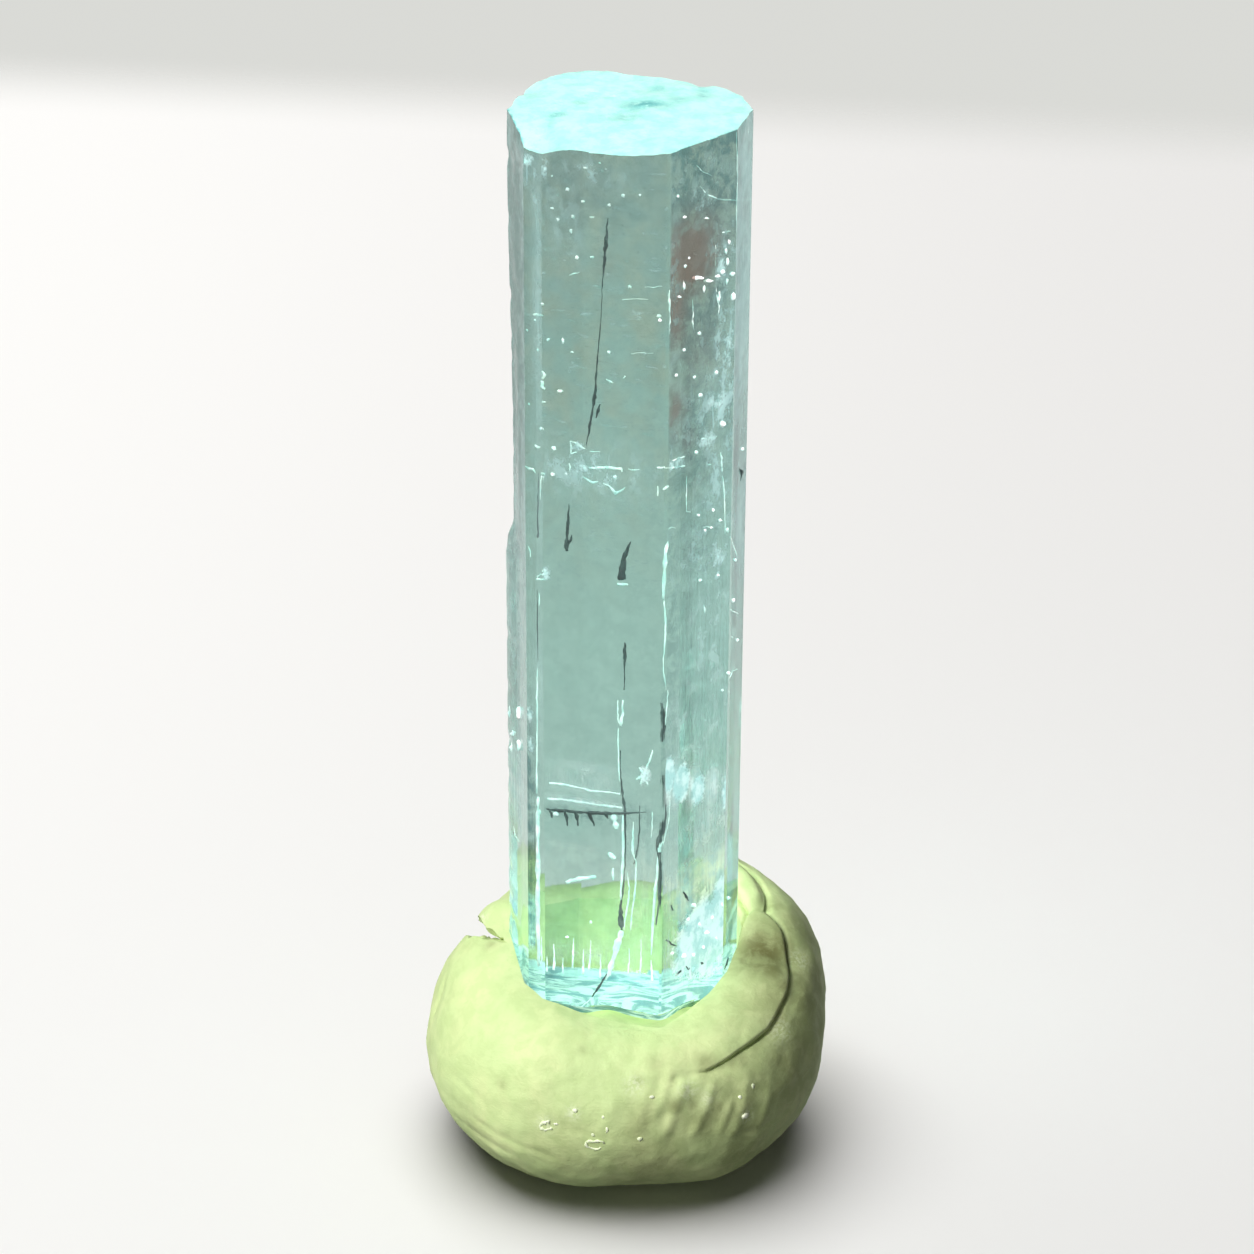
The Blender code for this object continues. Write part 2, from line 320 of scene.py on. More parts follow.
def stored(name, mesh, *materials):
    """Turn a bmesh into an object of the scene."""
    data = bpy.data.meshes.new(name)
    mesh.to_mesh(data)
    mesh.free()
    for material in materials:
        data.materials.append(material)
    item = bpy.data.objects.new(name, data)
    bpy.context.scene.collection.objects.link(item)
    return item


def staged(name, mesh, finish):
    """Turn a bmesh into a part of the stage, which sends no light on to matt surfaces."""
    item = stored(name, mesh, finish)
    item.visible_diffuse = False
    return item


table_finish = Finish("table_top")
off_front = table_finish.node(
    "ShaderNodeVectorMath",
    {"operation": "DOT_PRODUCT"},
    {0: table_finish.place, 1: TABLE_EDGE_WAY},
    "Value",
)
edge = off_front.rise(*TABLE_FADE)
rightwards = table_finish.node("ShaderNodeSeparateXYZ", {}, {0: table_finish.place}, "X")
# Painted shade: darker to the right, where the light falls off.
painted_falloff = table_finish.mix(
    rightwards.rise(-TABLE_BLEND, TABLE_BLEND), TABLE_LEFT_COLOUR, TABLE_RIGHT_COLOUR
)
matt = table_finish.principled(colour=painted_falloff, Roughness=0.9, Specular_IOR_Level=0.1)
nothing = table_finish.node("ShaderNodeBsdfTransparent", {}, {})
soft_edge = table_finish.node("ShaderNodeMixShader", {}, {0: edge, 1: matt, 2: nothing})
table_mesh = bmesh.new()
bmesh.ops.create_circle(table_mesh, cap_ends=True, segments=128, radius=TABLE_RADIUS)
table_top = staged("table_top", table_mesh, table_finish.shown(soft_edge))

backdrop_finish = Finish("backdrop")
pale = backdrop_finish.node("ShaderNodeEmission", {}, {"Color": (*BACKDROP_COLOUR, 1.0)})
backdrop_mesh = bmesh.new()
bmesh.ops.create_icosphere(backdrop_mesh, subdivisions=4, radius=BACKDROP_RADIUS)
bmesh.ops.reverse_faces(backdrop_mesh, faces=backdrop_mesh.faces)
backdrop = staged("backdrop", backdrop_mesh, backdrop_finish.shown(pale))
backdrop.visible_shadow = False
print("Table top radius in mm:", round(TABLE_RADIUS / MM))

# %% [markdown]
# ## The light
#
# One large soft light stands to the left, about 46 degrees up, and gives the putty its bright
# left side and its dark right side. A crystal passes light on inside itself, so its far side is
# bright too: a glow from the right stands for that, and light linking keeps it on the crystal
# alone. A weak fill from the front and another from behind keep the shaded sides readable, and
# the table top has a soft light of its own from higher up. No glint shows the weak lights.

# %% Light the scene
AMBIENT = (0.025, 0.026, 0.025)
LIGHT_DISTANCE = 1300 * MM
LIGHT_AIM = Vector((0.0, 0.0, 30.0)) * MM

scene = bpy.context.scene
scene.view_settings.view_transform = "Standard"
world = bpy.data.worlds.new("studio")
scene.world = world
world.use_nodes = True
world.node_tree.nodes["Background"].inputs["Color"].default_value = (*AMBIENT, 1.0)


def lit_group(name, *members):
    """A group of objects that a light may light."""
    group = bpy.data.collections.new(name)
    for member in members:
        group.objects.link(member)
    return group


whole_object = lit_group("whole_object")
crystal_only = lit_group("crystal_only")
table_only = lit_group("table_only", table_top)


def add_light(name, towards, size, watts, receivers, glints):
    """A square soft light, aimed at the crystal, that lights one group only."""
    data = bpy.data.lights.new(name, "AREA")
    data.shape = "SQUARE"
    data.size = size * MM
    data.energy = watts
    light = bpy.data.objects.new(name, data)
    light.location = LIGHT_AIM + Vector(towards).normalized() * LIGHT_DISTANCE
    light.rotation_euler = Vector(towards).to_track_quat("Z", "Y").to_euler()
    light.light_linking.receiver_collection = receivers
    light.visible_glossy = glints
    light.visible_transmission = glints
    scene.collection.objects.link(light)
    print(name, "watts:", watts)


# The way to each light, its size in mm, its power, what it lights, and whether glints show it.
add_light("key", (-0.58, -0.38, 0.72), 700, 21.8, whole_object, True)
add_light("fill", (-0.12, -0.98, 0.12), 900, 5.6, whole_object, False)
add_light("glow", (0.85, -0.45, 0.30), 700, 18.5, crystal_only, False)
add_light("behind", (0.30, 0.93, 0.22), 900, 5.0, whole_object, False)
add_light("table_light", (-0.14, 0.20, 0.96), 1350, 24.4, table_only, True)

# %% [markdown]
# ## The shape of the crystal
#
# Beryl grows as a hexagonal prism, and the six long edges of this one are taken off by narrow
# facets, so it has twelve flat sides. Both ends are broken. It could be carved from a block with
# Booleans, but a broken top wants a fine grid of corners. So a gridded sheet is cut to the
# prism's outline with bisect_plane, pulled up to a solid, and its ends are moved corner by corner.

# %% Cut the prism
CRYSTAL_FOOT = 13.2 * MM
CRYSTAL_TOP = 83.6 * MM
CRYSTAL_LEAN = 0.3  # degrees, towards +X
BLANK = 20.0 * MM
CELLS = 80
SIDE_ROWS = 160
# Corners nearer than this are one.
WELD = 1e-6
# The headings of the four faces that are seen from the front, and of the edge between two.
FRONT = -16
EDGE = 14
RIGHT = 44
RIGHT_EDGE = 74
LEFT = 284
LEFT_EDGE = 314
# How far in mm each prism face is from the crystal's axis.
PRISM_FACES = {
    FRONT: 7.3,
    EDGE: 8.6,
    RIGHT: 7.7,
    RIGHT_EDGE: 8.0,
    104: 8.27,
    134: 7.95,
    164: 7.3,
    194: 8.3,
    224: 8.7,
    254: 8.55,
    LEFT: 8.35,
    LEFT_EDGE: 8.5,
}


def all_geometry(mesh):
    """The corners, edges and faces of a bmesh."""
    return mesh.verts[:] + mesh.edges[:] + mesh.faces[:]


def pull_out(mesh, faces, way):
    """Extrude some faces of a bmesh, and move what was extruded."""
    pulled = bmesh.ops.extrude_face_region(mesh, geom=faces)
    moved = [item for item in pulled["geom"] if isinstance(item, bmesh.types.BMVert)]
    bmesh.ops.translate(mesh, vec=way, verts=moved)


def cut_prism(cells, clearance, height):
    """Cut a gridded sheet to the outline of the prism, and pull it up to a solid."""
    mesh = bmesh.new()
    bmesh.ops.create_grid(mesh, x_segments=cells, y_segments=cells, size=BLANK / 2)
    for degrees, distance in PRISM_FACES.items():
        outward = heading_vector(degrees)
        bmesh.ops.bisect_plane(
            mesh,
            geom=all_geometry(mesh),
            dist=WELD,
            plane_co=outward * (distance * MM + clearance),
            plane_no=outward,
            clear_outer=True,
        )
    bmesh.ops.remove_doubles(mesh, verts=mesh.verts, dist=WELD)
    bmesh.ops.translate(mesh, vec=(0, 0, CRYSTAL_FOOT), verts=mesh.verts)
    pull_out(mesh, mesh.faces[:], (0, 0, height))
    return mesh


def upright_edges(mesh):
    """The edges of a prism that run up its sides."""
    return [edge for edge in mesh.edges if abs(edge.verts[0].co.z - edge.verts[1].co.z) > 0.1 * MM]


crystal_mesh = cut_prism(CELLS, 0.0, CRYSTAL_TOP - CRYSTAL_FOOT)
bmesh.ops.subdivide_edges(
    crystal_mesh, edges=upright_edges(crystal_mesh), cuts=SIDE_ROWS, use_grid_fill=True
)
print("Prism:", len(crystal_mesh.verts), "corners,", len(crystal_mesh.faces), "faces")

# %% [markdown]
# ## The broken ends and the growth step
#
# The top broke across in one gently waved, shell-like surface with a knocked rim, and the foot
# broke at a slant. On the left the crystal grew a little wider below a low step, and that edge
# is ragged. The relief is a sum of a few humps, smooth noise and a set of small tilted facets.

# %% Break the ends
# Humps (+) and hollows (-) of the broken top in mm: x, y, rise and spread.
TOP_RELIEF = (
    (-5.0, 6.0, 0.34, 4.0),
    (-7.0, -5.2, -1.05, 2.6),
    (-1.6, -7.6, -0.50, 3.2),
    (5.0, 6.3, -0.40, 0.9),
    (3.0, 1.0, 0.25, 3.0),
    (-7.8, 4.6, -0.45, 1.3),
)
TOP_GRAIN = 0.14 * MM
TOP_GRAIN_SIZE = 2.2 * MM
FACET_SIZE = 2.6 * MM
SMALL_FACET_SIZE = FACET_SIZE / 2.5
FACET_SLOPE = 0.05
# Tilts are read this many times further apart than the facets' centres, so that they differ.
TILT_STRIDE = 7.3
FOOT_SLOPE = 0.12
FOOT_RIM_WORN = 0.4 * MM
FOOT_RIM_HEIGHT = 1.2 * MM
TOP_RIM_HEIGHT = 1.1 * MM
# The rims are drawn in only this far out from the axis.
RIM_FROM = 6.0 * MM
RIM_TO = 7.2 * MM
FOOT_GRAIN = 0.4 * MM
FOOT_GRAIN_SIZE = 3.0 * MM
# The growth step is sharpest at this heading, where two left faces meet.
STEP_HEADING = 268
STEP_REACH = 20
# How near to that heading, from 0 to 1, the step and its ragged edge begin and are full.
STEP_FULL = (0.0, 0.9)
RAG_FULL = (0.2, 0.9)
STEP_HEIGHT = 51.2 * MM
STEP_DEPTH = 1.9 * MM
STEP_OUT = 0.32 * MM
# Above the step the left side is a little hollow between these heights.
WAIST_DEPTH = 0.26 * MM
WAIST_FROM = 80 * MM
WAIST_TO = 58 * MM
RAG = 0.22 * MM
RAG_SIZE = 1.5 * MM
CHIP_SIZE = 0.9 * MM
CHIP_DEPTH = 0.16 * MM
# With 0, half of the top's rim is chipped, and with 0.5 nearly all of it.
CHIP_SHARE = 0.25
TOP_FADE = 3 * MM
FOOT_FADE = 6 * MM


def facet_relief(x, y, size):
    """The height of a surface of small flat facets, each tilted its own way."""
    place = Vector((x, y, 0.0)) / size
    centre = noise.voronoi(place)[1][0]
    tilt = noise.noise_vector(centre * TILT_STRIDE)
    return size * FACET_SLOPE * tilt.dot(place - centre)


def top_relief(x, y):
    """How far the broken top stands above or below its mean height."""
    height = TOP_GRAIN * noise.noise(Vector((x, y, 0.0)) / TOP_GRAIN_SIZE)
    for centre_x, centre_y, rise, spread in TOP_RELIEF:
        away = ((x / MM - centre_x) ** 2 + (y / MM - centre_y) ** 2) / spread ** 2
        height += rise * MM * math.exp(-away)
    # One metre off, the small facets have a pattern of their own.
    return height + facet_relief(x, y, FACET_SIZE) + facet_relief(x + 1, y, SMALL_FACET_SIZE)


def foot_grain(point):
    """The uneven break of the foot, from about -1 to 1."""
    return noise.noise(Vector((point.x, point.y, 0.0)) / FOOT_GRAIN_SIZE)


def foot_rise(point):
    """How far the broken foot stands above the prism's lower end."""
    return FOOT_GRAIN * foot_grain(point) - FOOT_SLOPE * point.y


def side_relief(point):
    """How far the side stands out beyond the prism's faces."""
    facing = 1 - abs(turn_between(heading_of(point), STEP_HEADING)) / STEP_REACH
    below = smoothstep(STEP_HEIGHT + STEP_DEPTH / 2, STEP_HEIGHT - STEP_DEPTH / 2, point.z)
    hollow = WAIST_DEPTH * smoothstep(WAIST_FROM, WAIST_TO, point.z) * (1 - below)
    out = (STEP_OUT * below - hollow) * smoothstep(*STEP_FULL, facing)
    rag = noise.noise(Vector((0.0, 0.0, point.z)) / RAG_SIZE)
    return out - RAG * max(0.0, rag) * smoothstep(*RAG_FULL, facing)


def worn_away(point, from_axis):
    """How far the rims of the top and of the foot are drawn in by knocks."""
    near_top = smoothstep(CRYSTAL_TOP - TOP_RIM_HEIGHT, CRYSTAL_TOP, point.z)
    chips = CHIP_DEPTH * near_top * max(0.0, noise.noise(point / CHIP_SIZE) + CHIP_SHARE)
    near_foot = smoothstep(CRYSTAL_FOOT + FOOT_RIM_HEIGHT, CRYSTAL_FOOT, point.z)
    worn = near_foot * (FOOT_RIM_WORN + FOOT_GRAIN * foot_grain(point))
    return (chips + worn) * smoothstep(RIM_FROM, RIM_TO, from_axis)


def lean(point):
    """Where a point of the upright prism goes: leant, and set about the object's middle."""
    moved = point + BOX_SHIFT
    moved.x += math.tan(math.radians(CRYSTAL_LEAN)) * (point.z - CRYSTAL_FOOT)
    return moved


crystal_mesh.verts.index_update()
side_corners = {corner.index for edge in upright_edges(crystal_mesh) for corner in edge.verts}
upright_places = []
for corner in crystal_mesh.verts:
    place = corner.co.copy()
    from_axis = math.hypot(place.x, place.y)
    outward = Vector((place.x, place.y, 0)) / max(from_axis, MM)
    near_top = max(0.0, 1 - (CRYSTAL_TOP - place.z) / TOP_FADE)
    near_foot = max(0.0, 1 - (place.z - CRYSTAL_FOOT) / FOOT_FADE)
    corner.co.z += top_relief(place.x, place.y) * near_top + foot_rise(place) * near_foot
    upright_places.append(corner.co.copy())
    corner.co += outward * (side_relief(place) - worn_away(place, from_axis))
    corner.co = lean(corner.co)

bmesh.ops.recalc_face_normals(crystal_mesh, faces=crystal_mesh.faces)
crystal_mesh.normal_update()
print("Top of the crystal in mm:", round(max(v.co.z for v in crystal_mesh.verts) / MM, 2))

# %% [markdown]
# ## Places on the faces
#
# Marks that lie on a face or just under it are placed by where the camera sees them. The camera's
# ray is followed to the face, bent there as light is when it enters the crystal, and followed on
# to the mark's depth. A place on a face is then two numbers: across the face and up it.

# %% Find the place under a pixel
BERYL_IOR = 1.577
SEEN_FACES = (LEFT, LEFT_EDGE, FRONT, EDGE, RIGHT, RIGHT_EDGE)


def across_vector(degrees):
    """The level unit vector that runs along a face, to the right as seen from outside."""
    return heading_vector(degrees + 90.0)


def camera_line(column, row):
    """The line of sight through a pixel, as the upright prism would see it."""
    slope = math.tan(math.radians(CRYSTAL_LEAN))
    eye = CAMERA_PLACE - BOX_SHIFT
    eye.x -= slope * (eye.z - CRYSTAL_FOOT)
    ray = pixel_ray(column, row)
    ray.x -= slope * ray.z
    return eye, ray.normalized()


def travel_to(heading, eye, ray):
    """How far the line of sight runs before it meets the plane of a face."""
    outward = heading_vector(heading)
    return (PRISM_FACES[heading] * MM - eye.dot(outward)) / ray.dot(outward)


def face_at(column, row):
    """The face through which the camera sees into the crystal at a pixel."""
    eye, ray = camera_line(column, row)
    return max(SEEN_FACES, key=lambda heading: travel_to(heading, eye, ray))


def under_pixel(heading, column, row, depth=0.0):
    """The place in the upright prism, a depth under a face, that the camera sees at a pixel."""
    eye, ray = camera_line(column, row)
    outward = heading_vector(heading)
    entered = eye + ray * travel_to(heading, eye, ray)
    facing = -ray.dot(outward)
    bent = math.sqrt(1 - (1 - facing ** 2) / BERYL_IOR ** 2)
    inner = ray / BERYL_IOR + outward * (facing / BERYL_IOR - bent)
    return entered + inner * (depth / bent)


def on_face(heading, point):
    """A point's place across a face and up it."""
    return point.dot(across_vector(heading)), point.z


print("Faces seen in the middle row:", [face_at(column, 627) for column in range(515, 745, 10)])

# %% [markdown]
# ## Zones on the crystal
#
# A natural crystal is clear in some places and clouded in others. Where it is frosted, thinly
# veiled, milky, shaded or stained is painted here as soft spots, and stored at the mesh's
# corners as attributes. The material breaks each spot up with fine noise. A spot has its face, its
# column and row, its half width and half height in pixels, and its strength.

# %% Paint the zones
TOP = "top"
FROST_SPOTS = (
    (RIGHT, 708, 934, 28, 36, 0.85),
    (RIGHT, 690, 950, 18, 26, 0.70),
    (RIGHT, 722, 900, 12, 30, 0.70),
    (RIGHT, 717, 402, 17, 16, 0.38),
    (RIGHT, 735, 380, 12, 30, 0.34),
    (RIGHT, 727, 345, 16, 40, 0.36),
    (RIGHT, 722, 262, 10, 26, 0.36),
    (RIGHT, 706, 440, 16, 14, 0.36),
    (RIGHT, 742, 455, 7, 30, 0.36),
    (RIGHT, 669, 775, 6, 18, 0.80),
    (RIGHT, 681, 783, 9, 20, 0.75),
    (RIGHT, 698, 789, 8, 18, 0.65),
    (RIGHT, 732, 790, 10, 20, 0.80),
    (RIGHT, 700, 200, 26, 30, 0.30),
    (RIGHT, 715, 560, 20, 40, 0.30),
    (RIGHT, 675, 464, 14, 10, 0.42),
    (FRONT, 545, 168, 10, 18, 0.30),
    (LEFT_EDGE, 530, 160, 8, 12, 0.38),
    (FRONT, 600, 172, 16, 14, 0.30),
    (FRONT, 592, 470, 34, 16, 0.32),
    (FRONT, 576, 446, 12, 8, 0.42),
    (FRONT, 546, 574, 7, 10, 0.40),
    (LEFT_EDGE, 530, 714, 6, 10, 0.45),
    (LEFT_EDGE, 531, 745, 6, 14, 0.42),
    (FRONT, 645, 775, 8, 12, 0.42),
)
VEIL_SPOTS = (
    (LEFT, 516, 640, 16, 130, 0.40),
    (RIGHT_EDGE, 744, 250, 10, 180, 0.35),
    (RIGHT_EDGE, 742, 480, 10, 120, 0.45),
    # This spot and the next are a painted highlight: a soft pale band along the edge beside the front.
    (LEFT_EDGE, 539, 300, 4, 150, 0.40),
    (LEFT_EDGE, 537, 210, 6, 26, 0.55),
    (LEFT_EDGE, 529, 172, 9, 16, 0.60),
    (LEFT_EDGE, 524, 740, 10, 40, 0.35),
    (FRONT, 590, 175, 30, 14, 0.45),
    (FRONT, 560, 200, 30, 60, 0.25),
    # Painted reflection: a pale stripe along the right edge.
    (RIGHT_EDGE, 737, 220, 6, 110, 0.60),
    (RIGHT, 705, 170, 50, 50, 0.50),
    (RIGHT, 724, 250, 20, 40, 0.50),
    (RIGHT, 672, 300, 8, 60, 0.60),
    (RIGHT, 724, 335, 26, 50, 0.80),
    (RIGHT, 724, 405, 34, 46, 0.85),
    (RIGHT, 690, 440, 40, 24, 0.50),
    (RIGHT, 722, 470, 24, 50, 0.60),
    (RIGHT, 706, 550, 36, 40, 0.45),
    (RIGHT, 712, 640, 26, 80, 0.35),
    (RIGHT, 700, 720, 44, 50, 0.35),
    (RIGHT, 676, 783, 10, 20, 1.30),
    (RIGHT, 694, 787, 8, 18, 1.00),
    (RIGHT, 712, 784, 9, 18, 0.90),
    (RIGHT, 732, 788, 12, 20, 1.30),
    (RIGHT, 706, 826, 40, 20, 0.45),
    (RIGHT, 718, 878, 40, 22, 0.90),
    (RIGHT, 680, 890, 22, 24, 0.60),
    (RIGHT, 708, 934, 40, 32, 0.90),
    (FRONT, 583, 780, 36, 14, 0.30),
    (FRONT, 640, 900, 22, 80, 0.25),
    (FRONT, 583, 469, 70, 22, 0.40),
    (FRONT, 600, 958, 60, 12, 0.30),
)
MILK_SPOTS = (
    (LEFT, 516, 300, 20, 240, 1.20),
    (LEFT, 516, 600, 16, 60, 0.40),
    (LEFT, 516, 780, 10, 70, 0.50),
    (RIGHT_EDGE, 744, 250, 10, 170, 0.90),
    (RIGHT_EDGE, 744, 500, 10, 100, 0.60),
    # Painted highlight: a soft pale band along the edge beside the front.
    (LEFT_EDGE, 538, 290, 5, 130, 0.45),
    (LEFT_EDGE, 540, 520, 4, 60, 0.25),
    (LEFT_EDGE, 539, 690, 4, 60, 0.30),
    (FRONT, 583, 768, 38, 5, 0.34),
    (FRONT, 583, 788, 38, 5, 0.30),
    (FRONT, 585, 802, 38, 4, 0.55),
    (FRONT, 570, 847, 30, 4, 0.25),
    (FRONT, 590, 865, 44, 12, 0.15),
    # Painted reflection: a pale stripe along the right edge.
    (RIGHT, 740, 175, 4, 70, 0.35),
    (RIGHT, 676, 783, 8, 20, 1.10),
    (RIGHT, 694, 787, 7, 18, 0.85),
    (RIGHT, 712, 786, 8, 18, 0.75),
    (RIGHT, 732, 788, 10, 20, 1.10),
    (RIGHT, 706, 826, 40, 24, 0.22),
    (RIGHT, 720, 868, 30, 20, 0.95),
    (RIGHT, 690, 892, 24, 26, 0.80),
    (RIGHT, 718, 905, 26, 26, 0.80),
    (RIGHT, 700, 950, 40, 22, 0.60),
    (RIGHT, 712, 640, 40, 90, 0.14),
    (RIGHT, 724, 400, 30, 60, 0.20),
)
SHADE_SPOTS = (
    (LEFT, 515, 300, 14, 300, 1.40),
    (LEFT, 516, 640, 14, 160, 0.60),
    (LEFT_EDGE, 522, 300, 5, 180, 0.40),
    (LEFT_EDGE, 529, 850, 6, 110, 1.10),
    (LEFT_EDGE, 528, 790, 7, 70, 1.20),
    (FRONT, 590, 190, 66, 40, 0.40),
    (FRONT, 585, 815, 44, 6, 0.75),
    (FRONT, 640, 815, 14, 10, 0.60),
    (FRONT, 580, 860, 34, 26, 0.20),
    (FRONT, 655, 350, 10, 220, 0.15),
    (RIGHT, 704, 160, 60, 100, 1.20),
    (RIGHT, 690, 300, 44, 90, 1.00),
    (RIGHT, 735, 420, 16, 60, 0.60),
    (RIGHT, 688, 430, 26, 90, 0.80),
    (RIGHT, 690, 540, 40, 50, 0.45),
    (RIGHT, 672, 640, 9, 130, 0.45),
    (RIGHT, 700, 690, 30, 40, 0.25),
    (EDGE, 664, 740, 4, 50, 0.50),
    (RIGHT_EDGE, 744, 250, 8, 120, 0.60),
    (RIGHT_EDGE, 744, 440, 7, 60, 0.70),
    (RIGHT_EDGE, 740, 600, 5, 100, 0.40),
    (TOP, 552, 114, 9, 2, 0.90),
    (TOP, 543, 125, 5, 6, 0.60),
    (TOP, 640, 107, 22, 4, 1.00),
    (TOP, 622, 116, 12, 5, 0.70),
    (TOP, 698, 95, 5, 6, 0.80),
    (TOP, 672, 102, 10, 3, 0.50),
    (TOP, 575, 104, 8, 3, 0.40),
    (TOP, 655, 90, 10, 3, 0.50),
)
STAIN_SPOTS = (
    (RIGHT, 690, 258, 28, 38, 1.50),
    (RIGHT, 676, 310, 14, 50, 1.00),
    (RIGHT, 676, 412, 12, 26, 0.90),
    (RIGHT, 700, 352, 22, 40, 0.50),
    (RIGHT, 688, 440, 10, 14, 0.50),
    (RIGHT_EDGE, 741, 473, 4, 6, 0.80),
    (FRONT, 606, 265, 8, 12, 0.30),
    (FRONT, 584, 188, 24, 30, 0.20),
)
SPOT_FALL = 0.8
# The marks of the faces that are turned away: how many each has, and from what to what in mm
# they lie across the face and up it, how wide and tall they are, and how strong.
HIDDEN_MARKS = 6
HIDDEN_ACROSS = (-3, 3)
HIDDEN_NEAR_TOP = (70, 83)
HIDDEN_NEAR_FOOT = (20, 32)
HIDDEN_WIDTHS = (0.5, 1.5)
HIDDEN_HEIGHTS = (1.5, 5.0)
HIDDEN_STRENGTHS = (0.3, 0.5)
HIDDEN_KINDS = ("veil", "veil", "shade", "frost")
# The two faces right behind the front stay clear, so that nothing shows through it.
SEEN_THROUGH = (164, 194)
# A face belongs to a broken end if it is this flat and this far from the middle height.
END_FLATNESS = 0.5
END_FROM_MIDDLE = 30 * MM
# The foot's frost runs up the sides: it ends at the first height above it, and is full at the second.
FOOT_FROST = (0.9 * MM, 0.27 * MM)


def on_top(column, row):
    """The place on the crystal's top that the camera sees at a pixel."""
    ray = pixel_ray(column, row)
    place = CAMERA_PLACE - BOX_SHIFT + ray * ((CRYSTAL_TOP - CAMERA_PLACE.z) / ray.z)
    return place.x, place.y


def measured(spot):
    """A spot's face, middle, half width and half height in metres, and strength."""
    face, column, row, half_width, half_height, strength = spot
    middle, side, end = (
        on_top(*pixel) if face == TOP else on_face(face, under_pixel(face, *pixel))
        for pixel in ((column, row), (column + half_width, row), (column, row + half_height))
    )
    return face, middle, abs(side[0] - middle[0]), abs(middle[1] - end[1]), strength


def painted(spots, face, across, height):
    """The strength of the strongest spot at a place on a face."""
    best = 0.0
    for spot_face, middle, half_width, half_height, strength in spots:
        if spot_face == face:
            away = ((across - middle[0]) / half_width) ** 2
            away += ((height - middle[1]) / half_height) ** 2
            best = max(best, strength * math.exp(-SPOT_FALL * away))
    return best


def face_heading(point):
    """The heading of the prism face that a point lies on."""
    return max(PRISM_FACES, key=lambda way: point.dot(heading_vector(way)) - PRISM_FACES[way] * MM)


tables = {
    name: [measured(spot) for spot in spots]
    for name, spots in (
        ("frost", FROST_SPOTS),
        ("veil", VEIL_SPOTS),
        ("milk", MILK_SPOTS),
        ("shade", SHADE_SPOTS),
        ("stain", STAIN_SPOTS),
    )
}
dice = random.Random(3)
for heading in PRISM_FACES:
    if heading in SEEN_FACES + SEEN_THROUGH:
        continue
    for count in range(HIDDEN_MARKS):
        across = dice.uniform(*HIDDEN_ACROSS) * MM
        height = dice.choice((dice.uniform(*HIDDEN_NEAR_TOP), dice.uniform(*HIDDEN_NEAR_FOOT))) * MM
        shape = (dice.uniform(*HIDDEN_WIDTHS) * MM, dice.uniform(*HIDDEN_HEIGHTS) * MM)
        name = dice.choice(HIDDEN_KINDS)
        strength = dice.uniform(*HIDDEN_STRENGTHS)
        tables[name].append((heading, (across, height), *shape, strength))
layers = {name: crystal_mesh.verts.layers.float.new(name) for name in tables}
middle_height = (CRYSTAL_FOOT + CRYSTAL_TOP) / 2
for corner, place in zip(crystal_mesh.verts, upright_places):
    if corner.index in side_corners:
        heading = face_heading(place)
        across, height = on_face(heading, place)
        for name, spots in tables.items():
            corner[layers[name]] = painted(spots, heading, across, height)
    elif place.z > middle_height:
        corner[layers["shade"]] = painted(tables["shade"], TOP, place.x, place.y)
ends_layer = crystal_mesh.loops.layers.float.new("ends")
for face in crystal_mesh.faces:
    for loop in face.loops:
        place = upright_places[loop.vert.index]
        above_foot = place.z - CRYSTAL_FOOT - foot_rise(place)
        near_foot = smoothstep(*FOOT_FROST, above_foot)
        at_end = abs(place.z - middle_height) > END_FROM_MIDDLE
        on_end = at_end and abs(face.normal.z) > END_FLATNESS
        loop[ends_layer] = 1.0 if on_end else near_foot
print("Painted", sum(len(spots) for spots in tables.values()), "spots")

# %% [markdown]
# ## The finish of beryl
#
# Clear beryl acts as a glass does: it lets light through, bends it by its index of refraction,
# 1.577, and takes some red out of it on the way, which is what makes it sea-blue. Plain volume
# absorption does that, and a tint on the surface adds the zones of deeper colour along the length.
# The broken ends and the clouded spots scatter light instead, so a second, frosted shader is mixed
# in where the zones say: in grains for frost, in shreds and strings for a veil, and evenly for
# milk. Fine upright striations are a bump. Each noise below is one of the sizes that these have.

# %% Make the finish of beryl
# Colours by height: each stop is a part of the object's height.
OBJECT_HEIGHT = 84 * MM
COLOUR_ZONES = (
    (0.22, (0.93, 1.00, 0.97)),
    (0.30, (0.52, 0.73, 0.67)),
    (0.52, (0.48, 0.71, 0.645)),
    (0.80, (0.37, 0.57, 0.52)),
    (1.00, (0.32, 0.46, 0.43)),
)
# The veils: yellowish over the putty, where the colour is painted light that stands in for the
# putty showing through them, and bluish white above it.
VEIL_ZONES = (
    (0.23, (0.78, 0.97, 0.88)),
    (0.27, (0.84, 1.00, 0.66)),
    (0.32, (0.84, 1.00, 0.68)),
    (0.36, (0.82, 0.98, 0.92)),
    (0.60, (0.54, 0.82, 0.82)),
)
OLIVE = (0.44, 0.54, 0.44)
STAIN_COLOUR = (0.17, 0.07, 0.055)
SHADE_COLOUR = (0.055, 0.16, 0.165)
VEIL_GREY = (0.38, 0.64, 0.63)
SIDE_GREY = (0.12, 0.215, 0.195)
FROST_COLOURS = ((0.40, 0.72, 0.70), (0.66, 0.94, 0.91))
TOP_COLOURS = ((0.39, 0.87, 0.78), (0.52, 0.96, 0.85))
SMUDGE_COLOUR = (0.08, 0.42, 0.42)
FOOT_COLOURS = ((0.14, 0.38, 0.40), (0.60, 0.90, 0.84))
ABSORPTION = 20.0
ABSORPTION_COLOUR = (0.0, 0.5, 0.4, 1.0)
